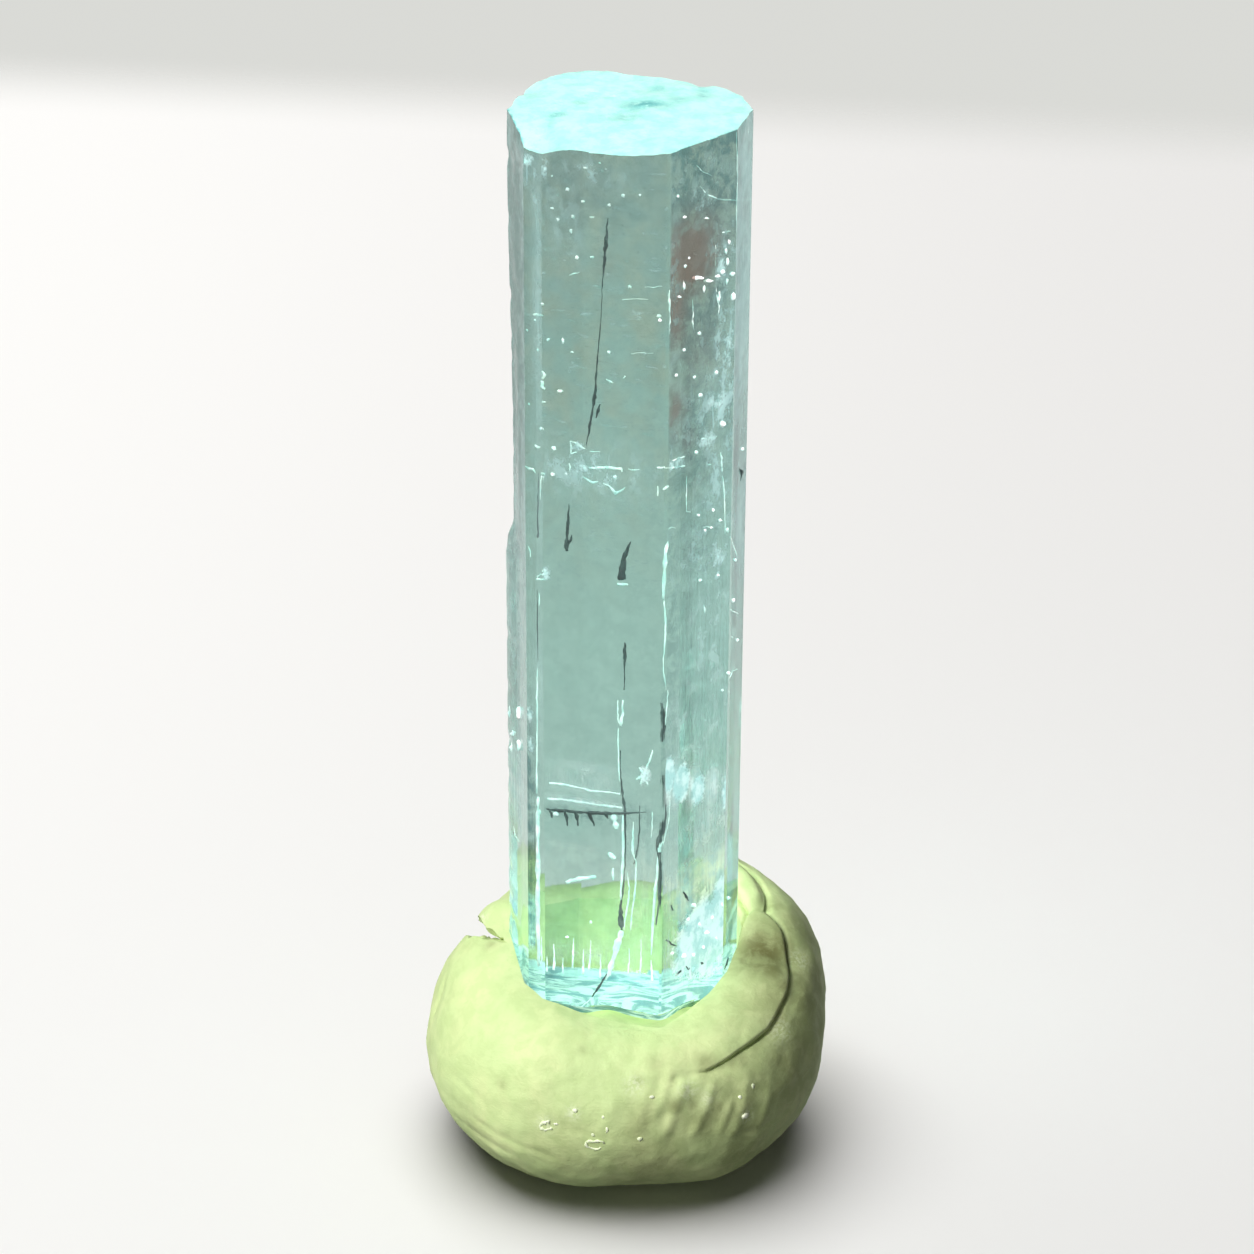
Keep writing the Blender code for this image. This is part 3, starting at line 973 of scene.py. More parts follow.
# Between these heights the foot's look goes over to that of the sides, the silky veils fade, the
# olive zone begins, and the level lines begin.
FOOT_LOOK = (22 * MM, 30 * MM)
SILK_FADE = (33 * MM, 42 * MM)
OLIVE_RISE = (40 * MM, 70 * MM)
LINES_RISE = (45 * MM, 60 * MM)
STRIATION_DEPTH = 0.05 * MM
FROST_DEPTH = 0.12 * MM

beryl = Finish("beryl")
height = beryl.node("ShaderNodeSeparateXYZ", {}, {0: beryl.place}, "Z")
part_of_height = height * (1 / OBJECT_HEIGHT)
frost, veil, milk, shade, stain, ends = (
    beryl.attribute(name) for name in ("frost", "veil", "milk", "shade", "stain", "ends")
)
cloud = beryl.noise(2.5 * MM)
mottle = beryl.noise(1.2 * MM, detail=6.0, roughness=0.7, distortion=0.3)
blotches = beryl.noise(1.0 * MM, detail=6.0, roughness=0.65, squeeze=(1.0, 1.0, 0.7))
fine = beryl.noise(0.32 * MM, detail=4.0, distortion=0.6)
streaks = beryl.noise(0.35 * MM, squeeze=(1.0, 1.0, 0.06))
strings = beryl.noise(0.5 * MM, detail=4.0, squeeze=(1.0, 1.0, 0.13))
levels = beryl.noise(0.9 * MM, squeeze=(0.16, 0.16, 1.0))
swept = beryl.noise(0.8 * MM, detail=4.0, distortion=1.2, squeeze=(0.25, 0.7, 1.0))

# The clear shader: zones by height, an olive cloud, shade and stain.
zoned = beryl.ramp(COLOUR_ZONES, part_of_height)
olive = beryl.mix(cloud.rise(0.4, 0.65) * height.rise(*OLIVE_RISE) * 0.8, zoned, OLIVE)
dimmed = (shade + 0.16) * (mottle.rise(0.38, 0.6) * 0.8 + 0.2)
shaded = beryl.mix(dimmed, olive, SHADE_COLOUR)
clear_beryl = beryl.principled(
    colour=beryl.mix(stain * (mottle.rise(0.3, 0.6) * 0.4 + 0.6), shaded, STAIN_COLOUR),
    Roughness=cloud * 0.08 + 0.02,
    IOR=BERYL_IOR,
    Transmission_Weight=1.0,
    Normal=beryl.bump(streaks, 0.12, STRIATION_DEPTH),
)

# The frosted shader: veils and frost on the sides, the bright top and the swept foot.
# Painted light: over the putty the veils' colour stands in for the lit putty showing through them.
veil_colour = beryl.ramp(VEIL_ZONES, part_of_height)
bright_veil = beryl.mix(blotches.rise(0.35, 0.6) * 0.55 + 0.2, VEIL_GREY, veil_colour)
side_colour = beryl.mix(shade * (mottle.rise(0.3, 0.6) * 0.3 + 0.6), bright_veil, SIDE_GREY)
frost_colour = beryl.mix(blotches.rise(0.42, 0.58), *FROST_COLOURS)
clouded = beryl.mix(frost.rise(0.2, 0.5), side_colour, frost_colour)
top_colour = beryl.mix(blotches.rise(0.35, 0.62), *TOP_COLOURS)
smudged = beryl.mix(shade * mottle.rise(0.3, 0.6), top_colour, SMUDGE_COLOUR)
foot_colour = beryl.mix(swept.rise(0.42, 0.56), *FOOT_COLOURS)
end_colour = beryl.mix(1 - height.rise(*FOOT_LOOK), smudged, foot_colour)
frosted_beryl = beryl.principled(
    colour=beryl.mix(ends, clouded, end_colour),
    Roughness=0.45,
    IOR=BERYL_IOR,
    Specular_IOR_Level=0.35,
    Normal=beryl.bump(fine, 0.5, FROST_DEPTH),
)

# Where it is frosted: at the broken ends, in grains, in torn and silky veils, and in level lines.
broken = (ends + fine * 0.4 - 0.2).rise(0.3, 0.6)
patches = (frost * 0.75 + blotches * 0.5 + fine * 0.25).rise(0.54, 0.72)
silk = streaks.rise(0.38, 0.66) * (1 - height.rise(*SILK_FADE) * 0.7)
torn = blotches.rise(0.47, 0.62).largest(fine.rise(0.58, 0.68) * 0.7)
texture = silk.largest(torn).largest(strings.rise(0.56, 0.68) * 0.8)
milky = milk * (cloud.rise(0.3, 0.6) * 0.3 + silk * 0.2 + 0.5)
haze = (veil * (texture * 0.88 + 0.12)).largest(milky)
lines = levels.vein(0.02) * mottle.rise(0.5, 0.6) * height.rise(*LINES_RISE) * 0.25
frosting = broken.largest(patches * 0.92).largest(haze).largest(lines)
beryl_surface = beryl.node("ShaderNodeMixShader", {}, {0: frosting, 1: clear_beryl, 2: frosted_beryl})
beryl_volume = beryl.node(
    "ShaderNodeVolumeAbsorption", {}, {"Color": ABSORPTION_COLOUR, "Density": ABSORPTION}
)
beryl_material = beryl.shown(beryl_surface, beryl_volume)
print("Nodes in beryl:", len(beryl_material.node_tree.nodes))

# %% Finish the crystal
SHARP_ANGLE = math.radians(14)


def adopt(piece, groups):
    """Light a piece, and let it ride on the frame."""
    for group in groups:
        group.objects.link(piece)
    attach(piece, "root")
    print(piece.name, "has", len(piece.data.polygons), "faces")


def finished(name, mesh, material, groups, sharp=math.pi):
    """Turn a bmesh into a smooth-shaded piece whose edges are sharp above an angle."""
    for face in mesh.faces:
        face.smooth = True
    for edge in mesh.edges:
        edge.smooth = edge.calc_face_angle(0.0) < sharp
    piece = stored(name, mesh, material)
    adopt(piece, groups)
    return piece


crystal_light = (whole_object, crystal_only)
crystal = finished(
    "beryl_prism", crystal_mesh, beryl_material, crystal_light, SHARP_ANGLE
)
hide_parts("crystal")
# Light passes through the crystal, so it casts no shadow of its own.
crystal.visible_shadow = False

# %% [markdown]
# ## What is inside the crystal
#
# Beryl grows with thin tubes along its length, some of them dark inside, and it holds healed
# cracks, whose trapped liquid glitters as white flecks and threads. The flecks and the pale
# threads have a weak painted glow, which stands in for the light they catch, and a few of the pale
# threads are painted highlights and a painted reflection on an edge. They lie just under the
# faces, and a few break the surface. A thread is a ring that is pulled from place to place with
# extrude, and a fleck is a small lump. The tables below say where they are: each thread has its
# depth in mm and its points, which are column, row and width in pixels, and each group of flecks
# has its depth, and each fleck its column, row, width and height.

# %% Dark tubes, healed cracks and white flecks
DARK_THREADS = (
    (0.5, (
        (607.5, 218, 0.8), (606.8, 230, 2.4), (605.8, 246, 3.6), (604.8, 254, 2.2),
        (604.6, 262, 3.2), (603.6, 270, 2), (602, 290, 0.8), (601, 318, 0.8), (599.5, 336, 1.4),
        (598, 350, 1), (597, 364, 1.8), (595.8, 383, 1.8), (594.6, 397, 3.2), (592.6, 410, 2.4),
        (590, 424, 2.2), (588, 436, 1.4), (586, 446, 0.8),
    )),
    (0.5, ((600, 404, 1), (598, 411, 3.2), (596, 418, 1))),
    (0.5, (
        (568.8, 504, 1), (568.4, 514, 2.6), (567.8, 526, 3.6), (567, 536, 3), (566.4, 545, 4.6),
        (567, 551, 3.4),
    )),
    (0.5, ((568, 545, 1), (571, 540, 4), (572, 535, 1))),
    (0.5, (
        (631, 541, 1), (627.5, 550, 3), (623.6, 558, 6.5), (622.6, 569, 7.5), (621.6, 577, 7),
        (621, 580, 4),
    )),
    (0.3, (
        (538.6, 473, 1), (538, 497, 1.6), (537.4, 522, 1.8), (538, 529, 2.4), (538, 534, 4),
        (537.6, 538, 1.5),
    )),
    (0.3, ((537.4, 590, 1), (537.4, 625, 1.8), (537.8, 662, 1))),
    (0.6, ((625, 642, 1), (624.8, 650, 3.4), (624.6, 658, 3), (624.4, 668, 1.4), (624, 690, 1))),
    (0.6, (
        (620.5, 750, 1), (620, 768, 1.2), (621.5, 785, 2.2), (623.6, 800, 3), (625, 812, 2.6),
        (625.6, 838, 1.4), (625, 866, 1.4), (623, 890, 1.4), (620.6, 906, 2.6), (620.6, 918, 6),
        (621.6, 926, 5.5), (622, 930, 2),
    )),
    (0.4, ((662, 703, 1), (663.4, 716, 3), (663.6, 730, 2.6), (662.4, 742, 1))),
    (0.4, (
        (664, 775, 1), (665.4, 795, 2.4), (666, 815, 3), (662, 832, 3.4), (657.6, 843, 4),
        (658.6, 856, 3), (661, 872, 2), (660, 892, 3), (659, 902, 2), (656, 925, 1.4),
    )),
    (0.5, ((640, 806, 1), (639.5, 830, 1.4), (637, 852, 2), (634, 864, 1.2))),
    (0.4, ((606.5, 974, 1), (602, 982, 2.6), (596, 991, 3), (592, 997, 1))),
    (0.4, ((549, 810, 1), (551, 813, 2.6), (552, 818, 1))),
    (0.4, ((564, 811, 2), (566, 815, 3.4), (567, 820, 2), (567.4, 826, 1))),
    (0.4, ((574, 811, 2), (577, 816, 4), (578, 826, 1))),
    (0.4, ((588, 812, 2), (590, 816, 3.4), (593, 822, 2.4), (594, 826, 1))),
    (0.4, ((604, 812, 2), (606, 815, 3), (608, 819, 1))),
    (0.5, (
        (546, 809, 1.4), (556, 810.6, 3), (570, 811.4, 3.4), (584, 812.6, 2.6), (598, 813, 3.4),
        (612, 813.6, 3), (628, 813, 2.4), (646, 812, 1),
    )),
    (0.03, ((683, 892, 1.5), (686, 897, 4), (688.4, 901, 2))),
    (0.03, ((666, 940, 1.5), (671, 944, 3.6), (676, 946, 2))),
    (0.03, ((676, 976, 1.5), (679, 972, 3), (683, 970, 1.5))),
    (0.03, ((724, 970, 1.5), (726.4, 964, 3.4), (728, 957, 1.5))),
    (0.03, ((700, 962, 1.5), (701.6, 964, 3.6), (704, 963, 1.5))),
    (0.03, ((671, 905, 1.5), (671.6, 908, 3), (673, 911, 1.5))),
    (0.03, ((686, 966, 1.5), (688, 970, 3), (690, 967, 1.5))),
    (0.03, ((739, 468, 1), (740.6, 472, 5), (741, 477, 4), (740, 481, 1))),
    (0.3, ((512, 170, 1), (511.4, 185, 1.6), (511.6, 198, 1))),
)
PALE_THREADS = (
    (0.5, ((589, 468, 2), (600, 467.6, 3.4), (612, 468, 3.6), (621, 469, 4.4), (622, 472, 2))),
    (0.5, ((628, 469, 1.4), (634, 470, 2), (640, 470, 1))),
    (0.5, ((524, 465, 1), (528, 468.5, 3), (533, 469, 3.6), (535.4, 473, 2))),
    (0.5, ((534.6, 445, 2), (537, 447, 3.4), (540.6, 447, 1))),
    (0.5, ((570, 441, 1.5), (576, 443, 3), (581, 447, 3.6), (585, 449, 2))),
    (0.5, ((570, 441, 1.5), (571, 448, 2.2), (570.6, 454, 2.2), (577, 452, 1.4))),
    (0.5, ((590, 451.6, 1.5), (595, 451.6, 2.6), (600, 452, 1.2))),
    (0.5, ((569, 463, 1.2), (570, 467, 2.6), (569.6, 471, 1))),
    (0.5, ((583, 466, 1.2), (585, 468, 2.4), (585.4, 471, 1))),
    (0.5, ((583, 477, 1), (587, 479.6, 2.6), (592, 482.4, 3.6), (598, 481.6, 2))),
    (0.5, (
        (603, 483, 1.2), (608, 485, 3), (613, 490, 3.6), (615.6, 494, 4.6), (620, 491, 3),
        (625, 487.4, 1.2),
    )),
    (0.5, ((541, 475, 2), (543, 473.6, 4), (545, 474, 2))),
    (0.4, ((541.5, 476, 2.4), (540.6, 484, 1.8), (540.2, 500, 1))),
    (0.03, ((657, 468, 2), (661, 468, 4), (665, 467, 2))),
    (0.03, ((664, 468, 1.5), (673, 467.6, 2.6), (685, 466, 3))),
    (0.03, ((672, 461, 1), (679, 458, 2.6), (685, 456.6, 2))),
    (0.03, ((663, 490, 2), (666, 487.6, 4.6), (669, 486, 2))),
    (0.2, ((657.6, 486, 1.4), (657.8, 492, 2.4), (658, 496, 1.4))),
    (0.3, ((542.6, 371, 2), (545, 375, 3.6), (542, 379, 2))),
    (0.3, ((542, 381, 2), (541.6, 386, 3.4), (545, 389, 3))),
    (0.4, ((606, 379, 1), (610, 381, 4.6), (613, 383, 1.6))),
    (0.4, ((623, 379, 1.2), (625, 376, 2))),
    (0.5, ((631, 353.6, 0.6), (640, 352.6, 0.8), (654, 353, 0.6))),
    (0.4, ((533, 314, 2), (538, 315, 3.6), (543, 315, 2))),
    (0.4, ((569, 275.6, 1), (574, 273.6, 2), (579, 272, 1.2))),
    (0.4, ((622, 300, 0.6), (632, 298.6, 1), (648, 299.6, 0.6))),
    (0.4, ((645, 287, 0.6), (654, 287, 0.9), (662, 286.4, 0.6))),
    (0.4, ((536, 579.6, 2), (541, 579.4, 3.6), (546, 579, 2))),
    (0.4, ((542, 572, 2), (544, 570, 2.6), (545.6, 573, 2.4), (543.4, 576, 2))),
    (0.4, ((536, 580, 1.4), (538.4, 576, 2.6), (541.6, 574, 1.4))),
    (0.4, ((539, 593, 1.4), (539.4, 600, 3), (539, 606, 1))),
    (0.4, ((528, 546, 1.2), (530, 551, 2.6), (530.6, 557, 1))),
    (0.5, ((617, 584, 3), (622.4, 584.4, 5), (628, 584.6, 2.6))),
    (0.1, ((537.4, 668, 1), (537.2, 690, 3), (537, 720, 2.6), (537, 760, 3), (536.8, 793, 3.4))),
    (0.1, (
        (538, 797, 5), (538, 820, 6), (538, 860, 6.4), (538, 900, 7), (538.4, 940, 7.4),
        (539, 966, 5),
    )),
    (0.1, ((668, 541, 1.5), (665.6, 550, 5), (664.4, 575, 4.6), (663.4, 600, 3))),
    (0.1, ((664, 600, 1.6), (666, 618, 2.4), (665, 640, 2), (663, 665, 1.6), (666, 690, 1.2))),
    (0.1, ((668, 690, 1.5), (667, 705, 2.6), (665.4, 725, 1.6))),
    (0.5, (
        (618, 700, 1), (617.6, 712, 2.4), (619, 722, 2.2), (620.6, 726, 3.4), (622.4, 714, 3),
        (623, 700, 1.6),
    )),
    (0.5, ((618, 728, 1.2), (618.4, 745, 2), (618.6, 765, 2), (620, 782, 1.4))),
    (0.5, (
        (622.6, 815, 1.6), (623, 835, 3.2), (623, 858, 3.6), (621.6, 880, 3), (620.6, 900, 2),
    )),
    (0.5, ((627, 872, 1), (629.5, 888, 2), (628, 905, 3), (624.6, 922, 2), (624, 930, 1))),
    (0.5, (
        (633.6, 822, 1), (633, 838, 2.6), (632.6, 850, 3.6), (636, 862, 2), (635.4, 890, 3),
        (632, 912, 3), (630.6, 930, 1),
    )),
    (0.5, ((652, 812, 1), (652.4, 826, 1.6), (651, 838, 1))),
    (0.4, (
        (668.6, 770, 1), (669.4, 795, 1.8), (669.2, 820, 1.8), (664.6, 838, 2.2), (658.6, 848, 3.6),
        (657.6, 872, 4), (655, 895, 4), (652.6, 925, 3.4), (651, 955, 1.6),
    )),
    (0.5, ((621.4, 931, 7), (617.4, 945, 8), (613, 960, 8), (608.6, 974, 5.5), (605.6, 980, 2))),
    (0.4, ((592, 998, 1), (585, 1003, 2), (577, 1011, 2.4), (571, 1016, 1))),
    (0.6, ((652.8, 750, 1.5), (650.4, 758, 3), (648, 764, 3), (646, 769, 2))),
    (0.6, ((640, 768, 2), (643, 774, 4), (646, 780, 3), (648, 785, 1.4))),
    (0.6, ((636, 780, 2), (641, 777, 4), (646, 774, 3), (650, 770, 1.4))),
    (0.6, ((640, 784, 1.4), (643, 780, 4), (645.6, 772, 3))),
    (0.9, (
        (549, 782.6, 2.4), (566, 785, 3.2), (584, 788.6, 2.6), (590, 791, 3.4), (605, 791.6, 2),
        (620, 794, 2.6),
    )),
    (0.9, ((548, 798.6, 2.6), (566, 800, 3), (590, 803.6, 2.4), (606, 806, 3.4), (622, 808, 4))),
    # This thread and the next three are painted highlights: short bright marks where the front shows
    # white glints.
    (0.2, ((613.6, 815, 5), (614, 819, 8), (615.6, 825, 7.6), (616.6, 829, 4))),
    (0.2, ((608.6, 853, 4), (611.6, 856, 7.4), (614.6, 859, 5))),
    (0.2, ((613, 868, 3), (613, 873, 4.6), (613, 880, 3))),
    (0.2, ((566, 882.6, 5), (571, 880.6, 6.4), (582, 878.4, 5.4), (596, 876.6, 5))),
    (0.2, ((516, 826, 1.4), (517, 835, 3.6), (520, 842, 2))),
    (0.2, ((512, 780, 1.2), (513, 800, 2), (512, 830, 1.4), (513, 865, 1.2))),
    (0.1, ((541.4, 936, 0.7), (541.8, 950, 2.2), (541.6, 966, 2.9))),
    (0.1, ((554, 944, 0.7), (554.4, 956, 2.4), (553.6, 970, 3.6))),
    (0.1, ((573.6, 938, 0.7), (573.2, 952, 2.2), (572.4, 968, 2.9))),
    (0.1, ((583.4, 950, 0.7), (583.4, 962, 2.2), (583, 974, 2.6))),
    (0.1, ((590.8, 940, 0.7), (590.4, 954, 2.2), (589, 970, 2.9))),
    (0.1, ((600.4, 954, 0.7), (600.6, 966, 1.9), (600, 978, 2.2))),
    (0.1, ((547, 956, 0.7), (547, 964, 1.7), (547, 972, 2.2))),
    (0.1, ((563, 958, 0.7), (563, 966, 1.7), (563, 973, 2.2))),
    (0.1, ((629, 948, 0.7), (629, 962, 1.4), (628, 976, 1.9))),
    (0.1, ((641, 940, 0.7), (641, 958, 1.4), (640, 974, 1.7))),
    (0.1, ((651, 960, 0.7), (652, 972, 2.2), (652, 982, 2.6))),
    (0.03, ((686.6, 476, 1), (686.4, 495, 2), (686.6, 511, 1.4), (691, 512, 1.2))),
    (0.03, ((720.6, 452, 1), (721.4, 458, 3.4), (721.8, 466, 3), (722, 472, 1.4))),
    (0.03, ((722.6, 476, 1), (724, 490, 2.6), (724.6, 505, 2), (725, 534, 1.2))),
    (0.03, ((730, 536, 1.4), (734, 548, 2.6), (738, 560, 1.4))),
    (0.03, ((700.6, 439, 3), (708, 438.6, 2), (717, 436.4, 1.6))),
    (0.03, ((706, 464, 1), (711, 464.6, 1.4))),
    (0.03, ((668, 529, 1.2), (672, 527.6, 1.8), (676, 528, 1))),
    (0.03, ((703, 527, 1), (709, 527, 1.6), (713.6, 528, 1.2))),
    (0.03, ((722, 233, 1.4), (727, 231.6, 2.4), (731, 231, 1.2))),
    (0.03, ((715.6, 245, 1), (715.6, 258, 1.4), (715.4, 266, 1))),
    (0.03, ((716, 285, 1), (716.6, 296, 2), (719, 306, 2.6), (718, 316, 1))),
    (0.03, ((684, 280, 1), (683.4, 287, 2.2), (684, 292, 1))),
    (0.03, ((669, 290, 1), (669.6, 300, 2.6), (669.8, 318, 2.4), (669.4, 334, 1))),
    (0.03, ((692.6, 300, 1), (693, 310, 2), (692.6, 322, 2.2), (694, 330, 1))),
    (0.03, ((700, 186, 1), (706, 194, 1.8), (718, 199, 2), (734, 200.4, 1.8), (752, 199.6, 1.2))),
    (0.03, ((696, 165, 1), (702, 171, 1.4), (712, 176, 1))),
    # Painted reflection: a pale stripe along the right edge.
    (0.2, (
        (736.6, 132, 1), (737, 150, 1.8), (737.4, 175, 1.6), (736.8, 200, 2), (736.4, 232, 1.2),
    )),
    (0.2, ((748.6, 126, 1), (748.4, 134, 3), (749.6, 141, 1.4))),
    (0.03, ((728, 680, 1.2), (730.4, 676, 3), (732.6, 671, 3.4), (738, 669, 1.6))),
    (0.03, ((731, 636, 1.4), (732.4, 638, 3))),
    (0.03, ((728.6, 690, 1.4), (729.2, 693, 2.6))),
    (0.03, ((729, 609, 1), (733, 611.4, 3.4), (738, 614, 2))),
    (0.03, ((704, 604, 1), (704.6, 610, 2.4), (705, 613, 1))),
)
WHITE_FLECKS = (
    (0.3, (
        (567.4, 189, 5, 5), (583, 201.4, 4.4, 3.6), (623.4, 195.6, 4, 6), (558, 219.6, 4, 4),
        (573, 216.6, 4, 5), (577, 257.4, 4.6, 4.4), (592, 257, 5, 3), (630, 286.6, 4.6, 4),
        (585, 167.6, 5, 3), (609, 205, 4.6, 3.4), (552, 176, 2.6, 2.6), (552, 208, 5, 2.4),
        (592, 217, 6, 2), (571, 231, 3, 6), (538, 350, 4, 3.4), (543, 304, 3, 3), (548, 339.6, 4, 4),
        (563, 341, 3, 7), (544.5, 402, 4, 2), (541, 428.6, 4.6, 4), (521, 432, 3, 3), (560, 391, 7, 4),
        (609, 352, 4, 4), (554, 448.4, 5.6, 5.6), (552.4, 474.4, 5, 5), (615, 477, 5, 5),
        (566, 474, 3, 3), (535, 320, 3, 3), (572, 352, 4, 2.4), (600, 163, 3, 2), (556, 814, 6, 6),
        (540, 812, 4, 6), (567, 937, 4, 3), (591, 922, 3, 4), (544, 170, 3, 3), (659, 316, 6, 4.4),
        (640, 195, 3, 3),
    )),
    (0.2, (
        (526.6, 162.4, 8, 8), (522, 202, 5, 5), (514, 310, 3, 7), (527, 330, 3, 3), (529, 404, 3, 3),
    )),
    (-0.02, (
        (699, 333, 4.4, 4), (684, 349.6, 4, 4), (676, 375, 4, 4), (694, 377, 4, 4),
        (716, 372.4, 4.6, 4.6), (700, 395, 5, 5), (722, 423.6, 9, 7), (696, 452, 4.6, 4.6),
        (742, 449, 6, 4), (660, 320, 4, 4), (678, 196, 3.6, 3.6), (684.6, 217, 6, 3), (706, 218, 6, 2),
        (679, 296.6, 6, 3), (685, 266, 4, 4), (689, 258, 3, 3), (711, 527.6, 4, 2.6), (693, 905, 8, 5),
        (706, 932, 7, 6), (683, 956, 8, 6), (693, 955, 5, 5), (728, 898, 5, 5), (699, 925, 5, 7),
        (672, 953, 5, 4), (703, 947, 4, 4), (712, 917, 4, 5), (722, 905, 4, 6), (688, 919, 4, 4),
        (716, 938, 4, 4), (697, 277.6, 14, 5), (708, 280.6, 13, 4), (704, 289, 3, 10),
        (722, 271.6, 7, 5), (732, 273.6, 9, 5), (717, 276, 8, 3), (727.4, 262, 3.4, 9),
        (726, 251, 3, 8), (729, 242, 3, 7), (719, 297, 3, 14), (733, 296, 6, 9), (684, 286, 3, 9),
        (727, 281, 3, 7), (698, 515, 4, 3), (713, 510, 3, 4), (720, 520, 5, 4), (705, 530, 3, 3),
        (727, 530, 4, 6), (735, 560, 4, 4), (718, 575, 3, 3), (700, 580, 5, 3), (733, 600, 4, 5),
        (737, 640, 4, 4), (728, 673, 5, 4), (722, 690, 3, 3),
    )),
    (-0.10, (
        (513, 712, 8, 18), (520, 713, 6, 15), (516, 733, 12, 7), (514, 747, 7, 18), (520, 745, 5, 15),
    )),
)
THREAD_SIDES = 6
FLECK_SIZE = 0.88
FLECK_UNEVEN = (0.55, 1.3)
FLECK_THICKNESS = 0.25 * MM
THREAD_FLATNESS = 0.6
THREAD_STEPS = 4
THREAD_GRAIN = 0.35 * MM
THREAD_WANDER = 0.06 * MM
THREAD_UNEVEN = 0.7


def place_inside(column, row, depth):
    """The place inside the crystal that the camera sees at a pixel, at a depth in mm."""
    return lean(under_pixel(face_at(column, row), column, row, depth * MM))


def pixel_size(place):
    """How large a pixel is at a place."""
    return (place - CAMERA_PLACE).length / FOCAL_PIXELS


def open_ring(mesh):
    """A new ring's corners, in order, and its edges."""
    ring = bmesh.ops.create_circle(mesh, segments=THREAD_SIDES, radius=1.0)["verts"]
    return ring, list(dict.fromkeys(edge for corner in ring for edge in corner.link_edges))


def pulled_ring(mesh, ring, edges):
    """Pull a ring out of another, with its corners in the same order."""
    pulled = bmesh.ops.extrude_edge_only(mesh, edges=edges)["geom"]
    new_corners = {item for item in pulled if isinstance(item, bmesh.types.BMVert)}
    new_edges = [item for item in pulled if isinstance(item, bmesh.types.BMEdge)]
    new_ring = []
    for corner in ring:
        others = [edge.other_vert(corner) for edge in corner.link_edges]
        new_ring.append(next(other for other in others if other in new_corners))
    return new_ring, new_edges


def draw_thread(mesh, places, outward):
    """Pull a ring along a row of (centre, width) places, and close both ends."""
    ring, edges = open_ring(mesh)
    start = ring
    last = len(places) - 1
    for count, (centre, width) in enumerate(places):
        if count:
            ring, edges = pulled_ring(mesh, ring, edges)
        way = places[min(count + 1, last)][0] - places[max(count - 1, 0)][0]
        sideways = way.cross(outward).normalized()
        for step, corner in enumerate(ring):
            turn = math.tau * step / THREAD_SIDES
            offset = sideways * math.cos(turn) + outward * (THREAD_FLATNESS * math.sin(turn))
            corner.co = centre + offset * (width / 2)
    bmesh.ops.contextual_create(mesh, geom=start)
    bmesh.ops.contextual_create(mesh, geom=ring)


def roughened(places):
    """More places along a thread, each a little off its line, with an uneven width."""
    rough = []
    for (start, first), (end, second) in zip(places, places[1:]):
        for step in range(THREAD_STEPS):
            part = step / THREAD_STEPS
            centre = start.lerp(end, part)
            uneven = 1 + THREAD_UNEVEN * noise.noise(centre / THREAD_GRAIN)
            centre += noise.noise_vector(centre / THREAD_GRAIN) * THREAD_WANDER
            rough.append((centre, (first + (second - first) * part) * uneven))
    return rough + [places[-1]]


def thread_mesh(threads, scale):
    """All threads of one kind, with their widths scaled."""
    mesh = bmesh.new()
    for depth, points in threads:
        places = []
        for column, row, pixels in points:
            centre = place_inside(column, row, depth)
            places.append((centre, pixels * scale * pixel_size(centre)))
        draw_thread(mesh, roughened(places), heading_vector(0))
    bmesh.ops.recalc_face_normals(mesh, faces=mesh.faces)
    return mesh


def fleck_mesh(groups):
    """All flecks: small flat lumps, each a little out of round."""
    mesh = bmesh.new()
    dice = random.Random(7)
    for depth, flecks in groups:
        for column, row, pixels, rows in flecks:
            centre = place_inside(column, row, depth)
            pixel = pixel_size(centre)
            size = Vector((pixels * pixel, FLECK_THICKNESS, rows * pixel))
            for corner in bmesh.ops.create_icosphere(mesh, subdivisions=2, radius=0.5)["verts"]:
                uneven = FLECK_SIZE * dice.uniform(*FLECK_UNEVEN)
                corner.co = centre + Vector(a * b for a, b in zip(corner.co, size)) * uneven
    bmesh.ops.recalc_face_normals(mesh, faces=mesh.faces)
    return mesh


def solid_finish(name, first, second, roughness, glow=0.0):
    """A mottled, solid finish for what lies inside the crystal, perhaps with a little painted glow."""
    finish = Finish(name)
    colour = finish.mix(finish.noise(MM).rise(0.35, 0.65), first, second)
    shader = finish.principled(
        colour=colour, Roughness=roughness, Emission_Color=colour, Emission_Strength=glow
    )
    return finish.shown(shader)


dark_tube = solid_finish("dark_tube", (0.012, 0.035, 0.035), (0.03, 0.07, 0.065), 0.4)
# The healed cracks and the white flecks get a weak painted glow, which stands in for the light they
# catch inside the crystal.
healed_crack = solid_finish("healed_crack", (0.50, 0.78, 0.72), (0.86, 0.98, 0.93), 0.3, 0.15)
white_fleck = solid_finish("white_fleck", (0.45, 0.75, 0.68), (1.0, 1.0, 1.0), 0.3, 0.35)
for name, mesh, material in (
    ("dark_tubes", thread_mesh(DARK_THREADS, 1.0), dark_tube),
    ("healed_cracks", thread_mesh(PALE_THREADS, 0.75), healed_crack),
    ("white_flecks", fleck_mesh(WHITE_FLECKS), white_fleck),
):
    finished(name, mesh, material, crystal_light)

# %% [markdown]
# ## The ball of putty
#
# The putty was rolled to a ball, set down and pressed up round the crystal's foot, so it is a
# squat ball with a raised rim behind and at the sides, a long fold on the right and soft finger
# ridges. It could be sculpted, but here a sphere is drawn to a section at each heading, and the
# marks of the hand are then pressed in as a relief along the surface's normal. A crease is far
# narrower than the putty's other shapes, so one ring of the mesh is slid along the fold, and its
# neighbours crowd up to it.

